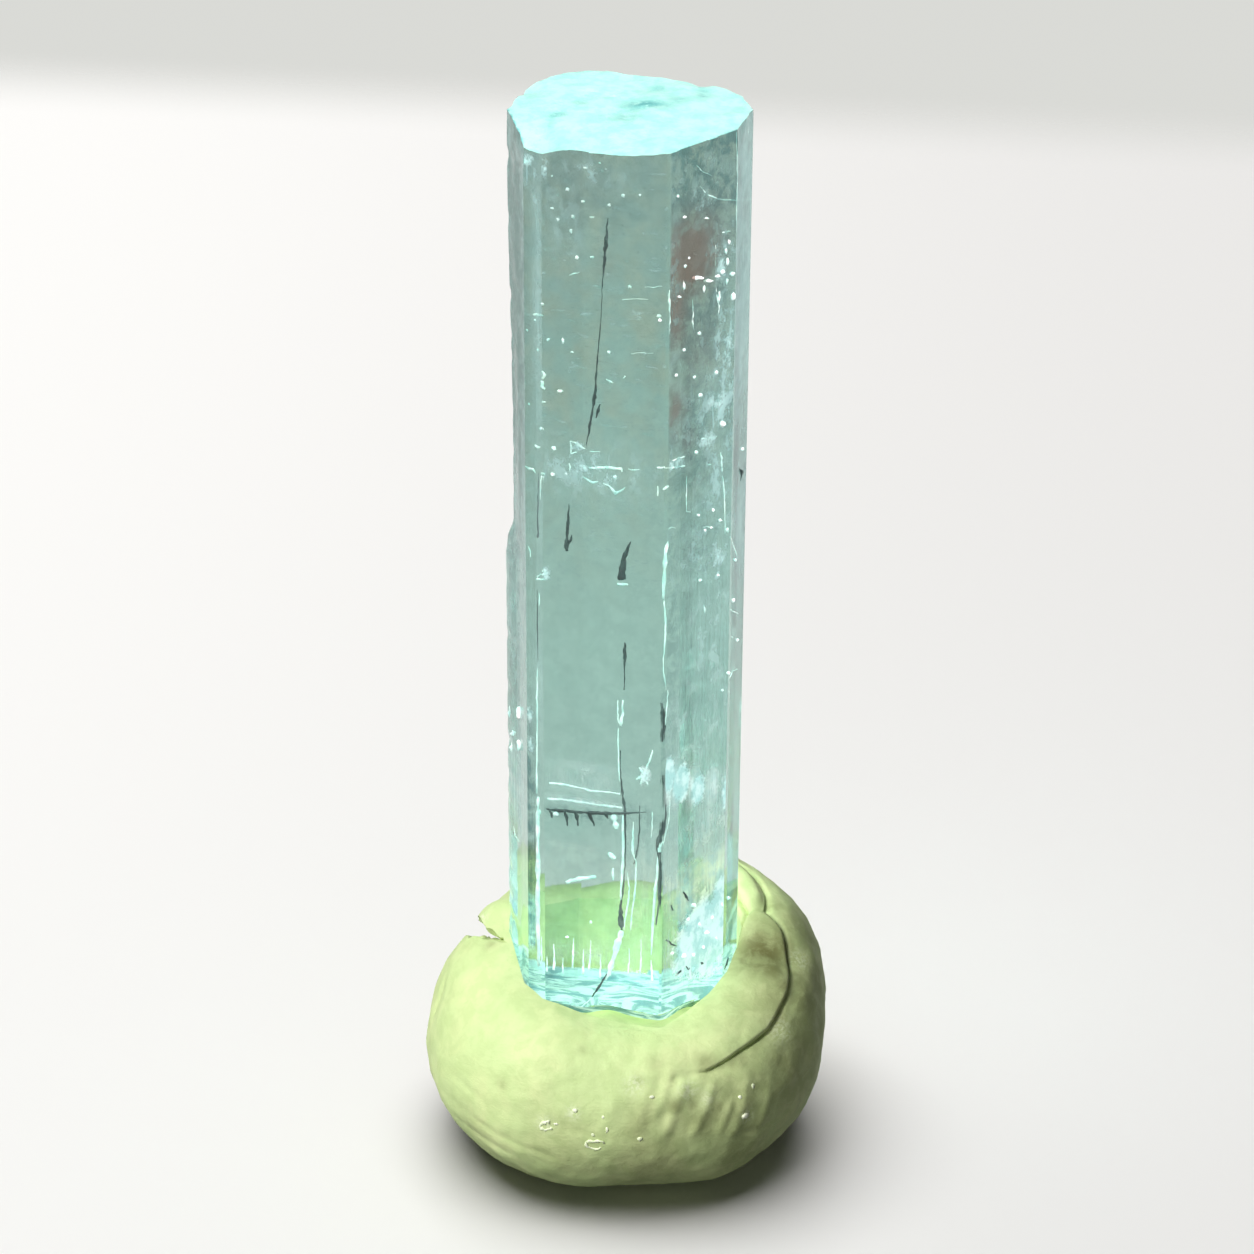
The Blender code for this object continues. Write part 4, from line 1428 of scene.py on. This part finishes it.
# %% Give the putty its sections
# In mm at every 45 degrees of heading: front, front right, right and so on round.
BULGE_RADIUS = (13.7, 15.0, 15.55, 15.4, 14.1, 14.1, 15.6, 14.9)
BULGE_HEIGHT = (6.6, 8.2, 10.6, 11.0, 10.4, 9.2, 7.6, 6.8)
CREST_RADIUS = (8.6, 9.2, 9.8, 9.6, 9.2, 9.3, 9.0, 9.2)
CREST_HEIGHT = (13.8, 14.9, 18.1, 19.8, 19.2, 18.0, 16.8, 14.8)
BASE_RADIUS = (7.0, 8.8, 9.8, 9.2, 8.6, 8.8, 9.4, 8.5)
SOCKET_HEIGHT = (14.0, 14.1, 15.4, 19.3, 19.0, 17.8, 16.2, 14.6)
# How the length of a section is shared out, from the socket's middle to the middle of the base.
SOCKET_SHARE = 0.10
CREST_SHARE = 0.22
BULGE_SHARE = 0.58
BASE_SHARE = 0.90
SOCKET_RADIUS = 7.0 * MM
SOCKET_MIDDLE = 16.2 * MM
BASE_DIP = 0.5 * MM


def putty_section(degrees, share):
    """Radius and height of the smooth putty at a heading, from the socket to the base."""
    bulge = around(BULGE_RADIUS, degrees)
    bulge_height = around(BULGE_HEIGHT, degrees)
    crest = around(CREST_RADIUS, degrees)
    crest_height = around(CREST_HEIGHT, degrees)
    socket_height = around(SOCKET_HEIGHT, degrees)
    base = around(BASE_RADIUS, degrees)
    if share < SOCKET_SHARE:
        part = share / SOCKET_SHARE
        sunk = (SOCKET_MIDDLE - socket_height) * (1 - part) ** 2
        return SOCKET_RADIUS * part, socket_height + sunk
    if share < CREST_SHARE:
        part = (share - SOCKET_SHARE) / (CREST_SHARE - SOCKET_SHARE)
        rise = math.sin(part * math.pi / 2)
        radius = SOCKET_RADIUS + (crest - SOCKET_RADIUS) * part
        return radius, socket_height + (crest_height - socket_height) * rise
    if share < BULGE_SHARE:
        turn = (share - CREST_SHARE) / (BULGE_SHARE - CREST_SHARE) * math.pi / 2
        radius = crest + (bulge - crest) * math.sin(turn)
        return radius, bulge_height + (crest_height - bulge_height) * math.cos(turn)
    if share < BASE_SHARE:
        turn = (share - BULGE_SHARE) / (BASE_SHARE - BULGE_SHARE) * math.pi / 2
        return base + (bulge - base) * math.cos(turn), bulge_height * (1 - math.sin(turn))
    part = (share - BASE_SHARE) / (1 - BASE_SHARE)
    return base * (1 - part), -BASE_DIP * part


print("Front bulge in mm:", [round(v / MM, 1) for v in putty_section(0, BULGE_SHARE)])

# %% Press in the fold, the ridges and the dents
# The long fold on the right: its heading and height in mm. The layer above it stands proud.
FOLD = (
    (27, 12.0),
    (32, 12.3),
    (40, 12.8),
    (53, 13.4),
    (68, 14.9),
    (84, 16.9),
    (97, 18.4),
    (135, 19.7),
)
FOLD_DEPTH = 0.45 * MM
FOLD_WIDTH = 0.14 * MM
FOLD_VALLEY = 0.14 * MM
FOLD_VALLEY_WIDTH = 0.7 * MM
FOLD_LIP = 0.22 * MM
FOLD_LIP_WIDTH = 1.4 * MM
FOLD_LIP_ABOVE = 0.3 * MM
FOLD_FADE = 5
# The crease opens up gradually from its lower end to this heading.
FOLD_OPEN = 60
# The shares of the mesh's rings between which they are slid, and the one on the fold.
RINGS_FROM = 0.10
RING_ON_FOLD = 0.38
RINGS_TO = 0.60
RING_CROWDING = 0.3
# Ridges left by fingers, and after them thin creases, which have a negative rise: the heading and
# the height in mm of one end and of the other, the half width and the rise.
HAND_LINES = (
    (8, 11.8, 3, 8.3, 0.50, 0.12),
    (15, 11.9, 9, 9.4, 0.35, 0.10),
    (19, 11.4, 12, 7.9, 0.45, 0.14),
    (28, 11.0, 21, 7.6, 0.40, 0.16),
    (33, 9.6, 29, 7.4, 0.30, 0.10),
    (39, 10.9, 33, 6.9, 0.50, 0.14),
    (46, 10.0, 42, 6.8, 0.40, 0.09),
    (-4, 10.6, -7, 8.2, 0.40, 0.05),
    (273, 13.6, 276, 10.6, 0.22, -0.22),
    (276, 13.0, 279, 10.9, 0.20, -0.12),
    (33, 6.6, 50, 6.5, 0.25, -0.12),
    (16, 11.6, 23, 11.9, 0.30, -0.16),
    (300, 5.2, 322, 4.6, 0.30, -0.08),
    (308, 6.6, 335, 5.4, 0.30, -0.08),
    (340, 8.0, 352, 7.4, 0.25, -0.06),
    (300, 9.0, 312, 8.6, 0.25, -0.06),
)
# A ridge or a crease fades at its two ends, and is only looked for this near its first heading.
LINE_START = (-0.3, 0.15)
LINE_END = (1.3, 0.85)
LINE_REACH = 35
# Soft lumps (+) and dents (-): heading, height, rise and spread in mm.
PUTTY_RELIEF = (
    (78, 17.0, -0.55, 1.5),
    (64, 16.6, 0.15, 1.4),
    (252, 17.3, 0.75, 1.7),
    (243, 13.6, -1.3, 2.6),
    (274, 12.0, -0.2, 1.6),
    (150, 14.0, -0.5, 4.0),
    (205, 11.0, 0.3, 4.0),
    (330, 9.0, 0.15, 4.0),
    (38, 6.4, -0.18, 1.0),
)
# The grain of the surface: the size of its lumps and their rise in mm.
PUTTY_GRAIN = ((6.0, 0.3), (1.5, 0.09), (0.6, 0.03))


def fold_strength(degrees):
    """1 along the fold, fading to 0 past its two ends."""
    start = smoothstep(FOLD[0][0] - FOLD_FADE, FOLD[0][0] + FOLD_FADE, degrees)
    return start * smoothstep(FOLD[-1][0] + FOLD_FADE, FOLD[-1][0] - FOLD_FADE, degrees)


def follow_fold(degrees, share):
    """Slide a ring of the mesh along its section, so that one ring lies on the fold."""
    strength = fold_strength(degrees)
    if strength == 0 or not RINGS_FROM < share < RINGS_TO:
        return share
    crest_height = around(CREST_HEIGHT, degrees)
    bulge_height = around(BULGE_HEIGHT, degrees)
    rise = (along(FOLD, degrees) - bulge_height) / (crest_height - bulge_height)
    turn = math.acos(max(-1.0, min(1.0, rise))) / (math.pi / 2)
    target = CREST_SHARE + (BULGE_SHARE - CREST_SHARE) * turn
    end = RINGS_FROM if share < RING_ON_FOLD else RINGS_TO
    away = (share - RING_ON_FOLD) / (end - RING_ON_FOLD)
    moved = target + (end - target) * away * (RING_CROWDING + (1 - RING_CROWDING) * away)
    return share + (moved - share) * strength


def bell(distance, width):
    """1 at no distance, falling away over a width."""
    return math.exp(-((distance / width) ** 2))


def fold_relief(degrees, height):
    """The fold: a crease in a soft valley, with the layer above it standing proud."""
    strength = fold_strength(degrees)
    if strength == 0:
        return 0.0
    above = height - along(FOLD, degrees)
    opened = 0.5 + 0.5 * smoothstep(FOLD[0][0], FOLD_OPEN, degrees)
    relief = -FOLD_DEPTH * opened * bell(above, FOLD_WIDTH * opened)
    if above > 0:
        relief += FOLD_LIP * bell(above - FOLD_LIP_ABOVE, FOLD_LIP_WIDTH)
    else:
        relief -= FOLD_VALLEY * bell(above, FOLD_VALLEY_WIDTH)
    return relief * strength


def line_relief(degrees, radius, height, line):
    """How far a ridge stands out at a place, or how far a crease goes in."""
    first_heading, first_height, second_heading, second_height, half_width, rise = line
    if abs(turn_between(degrees, first_heading)) > LINE_REACH:
        return 0.0
    width = math.radians(1.0) * radius
    run = Vector((turn_between(second_heading, first_heading) * width, 0.0))
    run.y = (second_height - first_height) * MM
    place = Vector((turn_between(degrees, first_heading) * width, height - first_height * MM))
    part = max(LINE_START[0], min(LINE_END[0], place.dot(run) / run.length_squared))
    near_middle = smoothstep(*LINE_START, part) * smoothstep(*LINE_END, part)
    return rise * MM * near_middle * bell((place - run * part).length, half_width * MM)


def hand_relief(degrees, radius, height):
    """The finger ridges, the thin creases, and the lumps and dents."""
    out = sum(line_relief(degrees, radius, height, line) for line in HAND_LINES)
    for heading, centre, rise, spread in PUTTY_RELIEF:
        across = math.radians(turn_between(degrees, heading)) * radius
        out += rise * MM * bell(math.hypot(across, height - centre * MM), spread * MM)
    return out


def putty_relief(degrees, radius, height, point):
    """How far the pressed surface stands out beyond the smooth one."""
    out = sum(rise * MM * noise.noise(point / (size * MM)) for size, rise in PUTTY_GRAIN)
    return out + fold_relief(degrees, height) + hand_relief(degrees, radius, height)


print("Fold height at the right in mm:", round(along(FOLD, 90) / MM, 1))

# %% Draw the putty
PUTTY_SEGMENTS = 400
PUTTY_RINGS = 150
# The mesh is finest at this heading, towards which its segments are pulled by up to so many
# degrees.
CROWD_HEADING = 50
CROWD_PULL = 22
# The relief grows from nothing above the base, and outwards from the socket.
SETTLED_HEIGHT = (0.0, 2 * MM)
SETTLED_RADIUS = (6.5 * MM, 9 * MM)

putty_mesh = bmesh.new()
bmesh.ops.create_uvsphere(
    putty_mesh, u_segments=PUTTY_SEGMENTS, v_segments=PUTTY_RINGS, radius=1.0
)
smooth_places = []
for corner in putty_mesh.verts:
    even = heading_of(corner.co)
    degrees = (even - CROWD_PULL * math.sin(math.radians(even - CROWD_HEADING))) % 360.0
    share = math.acos(max(-1.0, min(1.0, corner.co.z))) / math.pi
    radius, height = putty_section(degrees, follow_fold(degrees, share))
    smooth_places.append((degrees, radius, height))
    corner.co = heading_vector(degrees) * radius + Vector((0, 0, height))
putty_mesh.normal_update()
moves = []
for corner, (degrees, radius, height) in zip(putty_mesh.verts, smooth_places):
    settled = smoothstep(*SETTLED_HEIGHT, height) * smoothstep(*SETTLED_RADIUS, radius)
    relief = putty_relief(degrees, radius, height, corner.co) if settled else 0.0
    moves.append(corner.normal * (relief * settled))
for corner, move in zip(putty_mesh.verts, moves):
    corner.co += move
bmesh.ops.bisect_plane(
    putty_mesh,
    geom=all_geometry(putty_mesh),
    dist=WELD,
    plane_co=(0, 0, 0),
    plane_no=(0, 0, -1),
    clear_outer=True,
)
bmesh.ops.contextual_create(putty_mesh, geom=[e for e in putty_mesh.edges if e.is_boundary])
print("Putty:", len(putty_mesh.verts), "corners")

# %% [markdown]
# ## The socket and the torn notch
#
# The crystal's foot left its own shape in the putty, and on the left the raised rim tore when it
# was pressed up. Both are cut away with Booleans, whose results are kept in the mesh.

# %% Cut the socket and the notch
PUTTY_GAP = 0.35 * MM
SOCKET_CELLS = 20
SOCKET_CUT_HEIGHT = 12 * MM
NOTCH_START = Vector((-9.3, -1.6, 17.2)) * MM
NOTCH_UPPER = Vector((-3.2, 1.0, 2.6)) * MM
NOTCH_LOWER = Vector((-4.0, 0.1, 0.6)) * MM
NOTCH_RUN = Vector((0.3, 13.0, -8.0)) * MM
NOTCH_CUTS = 30
TEAR_SIZE = 0.8 * MM
TEAR_DEPTH = 0.4 * MM


def socket_shape():
    """The prism's outline with a gap round it, and the broken foot under it."""
    mesh = cut_prism(SOCKET_CELLS, PUTTY_GAP, SOCKET_CUT_HEIGHT)
    for corner in mesh.verts:
        if corner.co.z < CRYSTAL_FOOT + MM:
            corner.co.z += foot_rise(corner.co) - PUTTY_GAP
        corner.co = lean(corner.co)
    return mesh


def notch_shape():
    """A torn wedge from its closed edge to an open one, which runs back and down."""
    mesh = bmesh.new()
    corners = [mesh.verts.new(NOTCH_START + step) for step in (Vector(), NOTCH_UPPER, NOTCH_LOWER)]
    pull_out(mesh, [mesh.faces.new(corners)], NOTCH_RUN)
    bmesh.ops.subdivide_edges(mesh, edges=mesh.edges[:], cuts=NOTCH_CUTS, use_grid_fill=True)
    for corner in mesh.verts:
        corner.co += noise.noise_vector(corner.co / TEAR_SIZE) * TEAR_DEPTH
    bmesh.ops.translate(mesh, vec=BOX_SHIFT, verts=mesh.verts)
    return mesh


def cut_away(piece, name, mesh):
    """Cut a shape out of a piece, keep the result in its mesh, and drop the cutter."""
    bmesh.ops.recalc_face_normals(mesh, faces=mesh.faces)
    cutter = stored(name, mesh)
    cut = piece.modifiers.new(name, "BOOLEAN")
    cut.operation = "DIFFERENCE"
    cut.solver = "MANIFOLD"
    cut.object = cutter
    graph = bpy.context.evaluated_depsgraph_get()
    result = bpy.data.meshes.new_from_object(piece.evaluated_get(graph))
    piece.modifiers.clear()
    piece.data = result
    bpy.data.objects.remove(cutter, do_unlink=True)


bmesh.ops.translate(putty_mesh, vec=BOX_SHIFT, verts=putty_mesh.verts)
bmesh.ops.recalc_face_normals(putty_mesh, faces=putty_mesh.faces)
putty = stored("putty_ball", putty_mesh)
cut_away(putty, "socket_cutter", socket_shape())
cut_away(putty, "notch_cutter", notch_shape())
putty_tree = BVHTree.FromObject(putty, bpy.context.evaluated_depsgraph_get())
print("Putty after cutting:", len(putty.data.polygons), "faces")

# %% [markdown]
# ## Dirt, dust, painted shade and a painted highlight on the putty
#
# Putty that has been handled is never one colour: its right side is dirty and brownish, and pale
# dust sits on its high places. The dark spots are also painted shade, on the side turned from the
# light, towards the bottom and along the fold, and the pale spot on the torn tip of the notch is a
# painted highlight. Both kinds are painted as soft spots where the camera's ray meets the putty,
# and stored as attributes. A spot has its column and row, its radius in mm and its strength.

# %% Paint the putty
# Dirt and painted shade: these spots darken the putty where it is dirty, and also on the side turned
# from the light, towards the bottom and along the fold.
DIRT_AND_SHADE_SPOTS = (
    (765, 942, 2.4, 0.9),
    (772, 968, 1.8, 0.9),
    (784, 945, 1.6, 0.9),
    (784, 985, 1.2, 0.8),
    (752, 1010, 1.2, 0.35),
    (775, 905, 1.2, 0.5),
    (800, 930, 3.0, 0.55),
    (816, 985, 2.6, 0.6),
    (800, 1040, 3.0, 0.6),
    (770, 1085, 3.0, 0.5),
    (705, 1120, 2.2, 0.55),
    (676, 1106, 0.8, 0.7),
    (693, 1104, 0.7, 0.7),
    (716, 1108, 0.9, 0.7),
    (640, 1125, 2.2, 0.45),
    (560, 1152, 3.0, 0.35),
    (650, 1162, 4.0, 0.5),
    (740, 1150, 3.0, 0.55),
    (704, 1062, 0.9, 0.6),
    (742, 1060, 1.0, 0.5),
    (491, 944, 0.6, 0.35),
    (800, 1000, 6.0, 0.65),
    (790, 1070, 5.0, 0.60),
    (764, 952, 3.4, 1.0),
    (745, 1120, 4.0, 0.55),
    (757, 1048, 0.6, 0.5),
    (733, 1064, 0.6, 0.5),
    (470, 1125, 1.6, 0.25),
    (502, 1085, 0.5, 0.35),
    (583, 1050, 0.4, 0.3),
    (640, 1080, 0.5, 0.35),
    (655, 1062, 0.7, 0.3),
)
DUST_AND_HIGHLIGHT_SPOTS = (
    # Painted highlight: the pale spot on the torn tip of the notch.
    (482, 919, 0.5, 0.9),
    (747, 1115, 0.5, 0.6),
    (634, 1085, 0.7, 0.5),
    (688, 1090, 0.7, 0.5),
    (708, 1098, 0.6, 0.4),
    (573, 1113, 0.5, 0.7),
    (780, 1030, 1.0, 0.4),
    (800, 960, 0.8, 0.4),
    (545, 1124, 0.6, 0.6),
)
# How many radii out a spot is painted.
SPOT_REACH = 2.5


def on_putty(column, row):
    """Where the camera's ray through a pixel meets the putty, and the surface's normal there."""
    place, normal, _, _ = putty_tree.ray_cast(CAMERA_PLACE, pixel_ray(column, row))
    return place, normal


for name, spots in (("dirt", DIRT_AND_SHADE_SPOTS), ("dust", DUST_AND_HIGHLIGHT_SPOTS)):
    values = [0.0] * len(putty.data.vertices)
    for column, row, radius, strength in spots:
        centre = on_putty(column, row)[0]
        for index, corner in enumerate(putty.data.vertices):
            away = (corner.co - centre).length
            if away < SPOT_REACH * radius * MM:
                values[index] = max(values[index], strength * bell(away, radius * MM))
    putty.data.attributes.new(name, "FLOAT", "POINT").data.foreach_set("value", values)
    print("Painted", len(spots), "spots of", name)

# %% [markdown]
# ## The finish of putty
#
# Putty is matt and slightly waxy. Its colour comes from a slow mottle between two yellow-greens,
# then dirt with painted shade and dust with a painted highlight over it, and its surface has a
# fine grain and faint wrinkles as bumps.

# %% Finish the putty
PUTTY_SHARP_ANGLE = math.radians(50)
CLEAN_COLOURS = ((0.60, 0.74, 0.34), (0.67, 0.77, 0.37))
MOTTLE_COLOUR = (0.50, 0.64, 0.27)
DIRT_AND_SHADE_COLOUR = (0.13, 0.13, 0.04)
DUST_AND_HIGHLIGHT_COLOUR = (0.80, 0.86, 0.60)
GRAIN_DEPTH = 0.05 * MM
WRINKLE_DEPTH = 0.15 * MM

clay = Finish("putty")
slow = clay.noise(5.0 * MM, distortion=0.5)
mottle = clay.noise(1.3 * MM, detail=4.0, distortion=0.4)
grain = clay.noise(0.25 * MM, detail=4.0)
wrinkles = clay.noise(0.8 * MM, distortion=1.5, squeeze=(1.0, 1.0, 1.8))
clean = clay.mix(slow.rise(0.35, 0.65), *CLEAN_COLOURS)
mottled = clay.mix(mottle.rise(0.38, 0.66) * 0.5, clean, MOTTLE_COLOUR)
# Dirt and painted shade darken the colour; dust and one painted highlight lighten it.
dirt = clay.attribute("dirt") * (mottle.rise(0.3, 0.6) * 0.25 + 0.75)
dirtied_and_shaded = clay.mix(dirt, mottled, DIRT_AND_SHADE_COLOUR)
dusted_and_highlighted = clay.mix(clay.attribute("dust") * grain.rise(0.4, 0.6), dirtied_and_shaded, DUST_AND_HIGHLIGHT_COLOUR)
grained = clay.bump(grain, 0.25, GRAIN_DEPTH)
putty_shader = clay.principled(
    colour=dusted_and_highlighted,
    Roughness=mottle * 0.2 + 0.5,
    Specular_IOR_Level=0.25,
    Normal=clay.bump(wrinkles, 0.25, WRINKLE_DEPTH, grained),
)
putty.data.materials.clear()
putty.data.materials.append(clay.shown(putty_shader))
for polygon in putty.data.polygons:
    polygon.use_smooth = True
putty.data.set_sharp_from_angle(angle=PUTTY_SHARP_ANGLE)
adopt(putty, (whole_object,))
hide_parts("putty")

# %% [markdown]
# ## Specks on the putty
#
# A few bright grains are stuck in the putty, some of them in small rings round a pit. Each is a
# small lump half sunk in the surface where the camera sees it. A ring is a thread bent round.

# %% Stick the specks on
# Column, row, width and height in pixels.
SPECKS = (
    (607, 1130, 3.4, 6),
    (593, 1135, 4, 3.4),
    (603, 1117, 3, 4),
    (640, 1139, 6, 5),
    (740, 1097, 4, 4.4),
    (753, 1086, 3.4, 6),
    (575, 1111, 6, 5),
    (745, 1116, 8, 6),
    (556, 1124, 5, 2.4),
    (652, 1097, 6, 4),
)
# Column, row, half width and half height in pixels of each ring, and where it is open.
SPECK_RINGS = ((595, 1145, 9, 4.4, 25, 320), (546, 1126, 6, 4, 60, 330))
SPECK_SINK = 0.4
SPECK_UNEVEN = (0.7, 1.15)
RING_STEPS = 12
RING_UNEVEN = (0.75, 1.2)
# From what to what in mm the thickness of a ring varies.
RING_THICKNESS = (0.10, 0.38)

speck_mesh = bmesh.new()
speck_dice = random.Random(11)
for column, row, width, height in SPECKS:
    place, normal = on_putty(column, row)
    side = (on_putty(column + width / 2, row)[0] - place).length
    tall = (on_putty(column, row - height / 2)[0] - place).length
    sideways = normal.cross(Vector((0, 0, 1))).normalized()
    for corner in bmesh.ops.create_icosphere(speck_mesh, subdivisions=2, radius=1.0)["verts"]:
        shape = corner.co * speck_dice.uniform(*SPECK_UNEVEN)
        offset = sideways * (shape.x * side) + sideways.cross(normal) * (shape.z * tall)
        corner.co = place + offset + normal * (shape.y * SPECK_SINK * side)
for column, row, half_width, half_height, start, end in SPECK_RINGS:
    ring_places = []
    for count in range(RING_STEPS + 1):
        turn = math.radians(start + (end - start) * count / RING_STEPS)
        uneven = speck_dice.uniform(*RING_UNEVEN)
        across, up = half_width * uneven * math.cos(turn), half_height * uneven * math.sin(turn)
        place, normal = on_putty(column + across, row - up)
        ring_places.append((place, speck_dice.uniform(*RING_THICKNESS) * MM))
    draw_thread(speck_mesh, ring_places, normal)
bmesh.ops.recalc_face_normals(speck_mesh, faces=speck_mesh.faces)
speck_finish = solid_finish("speck", (0.72, 0.82, 0.50), (0.90, 0.95, 0.72), 0.35)
finished("specks", speck_mesh, speck_finish, (whole_object,))

# %% [markdown]
# The visual model has to stay inside the CAD model's box.
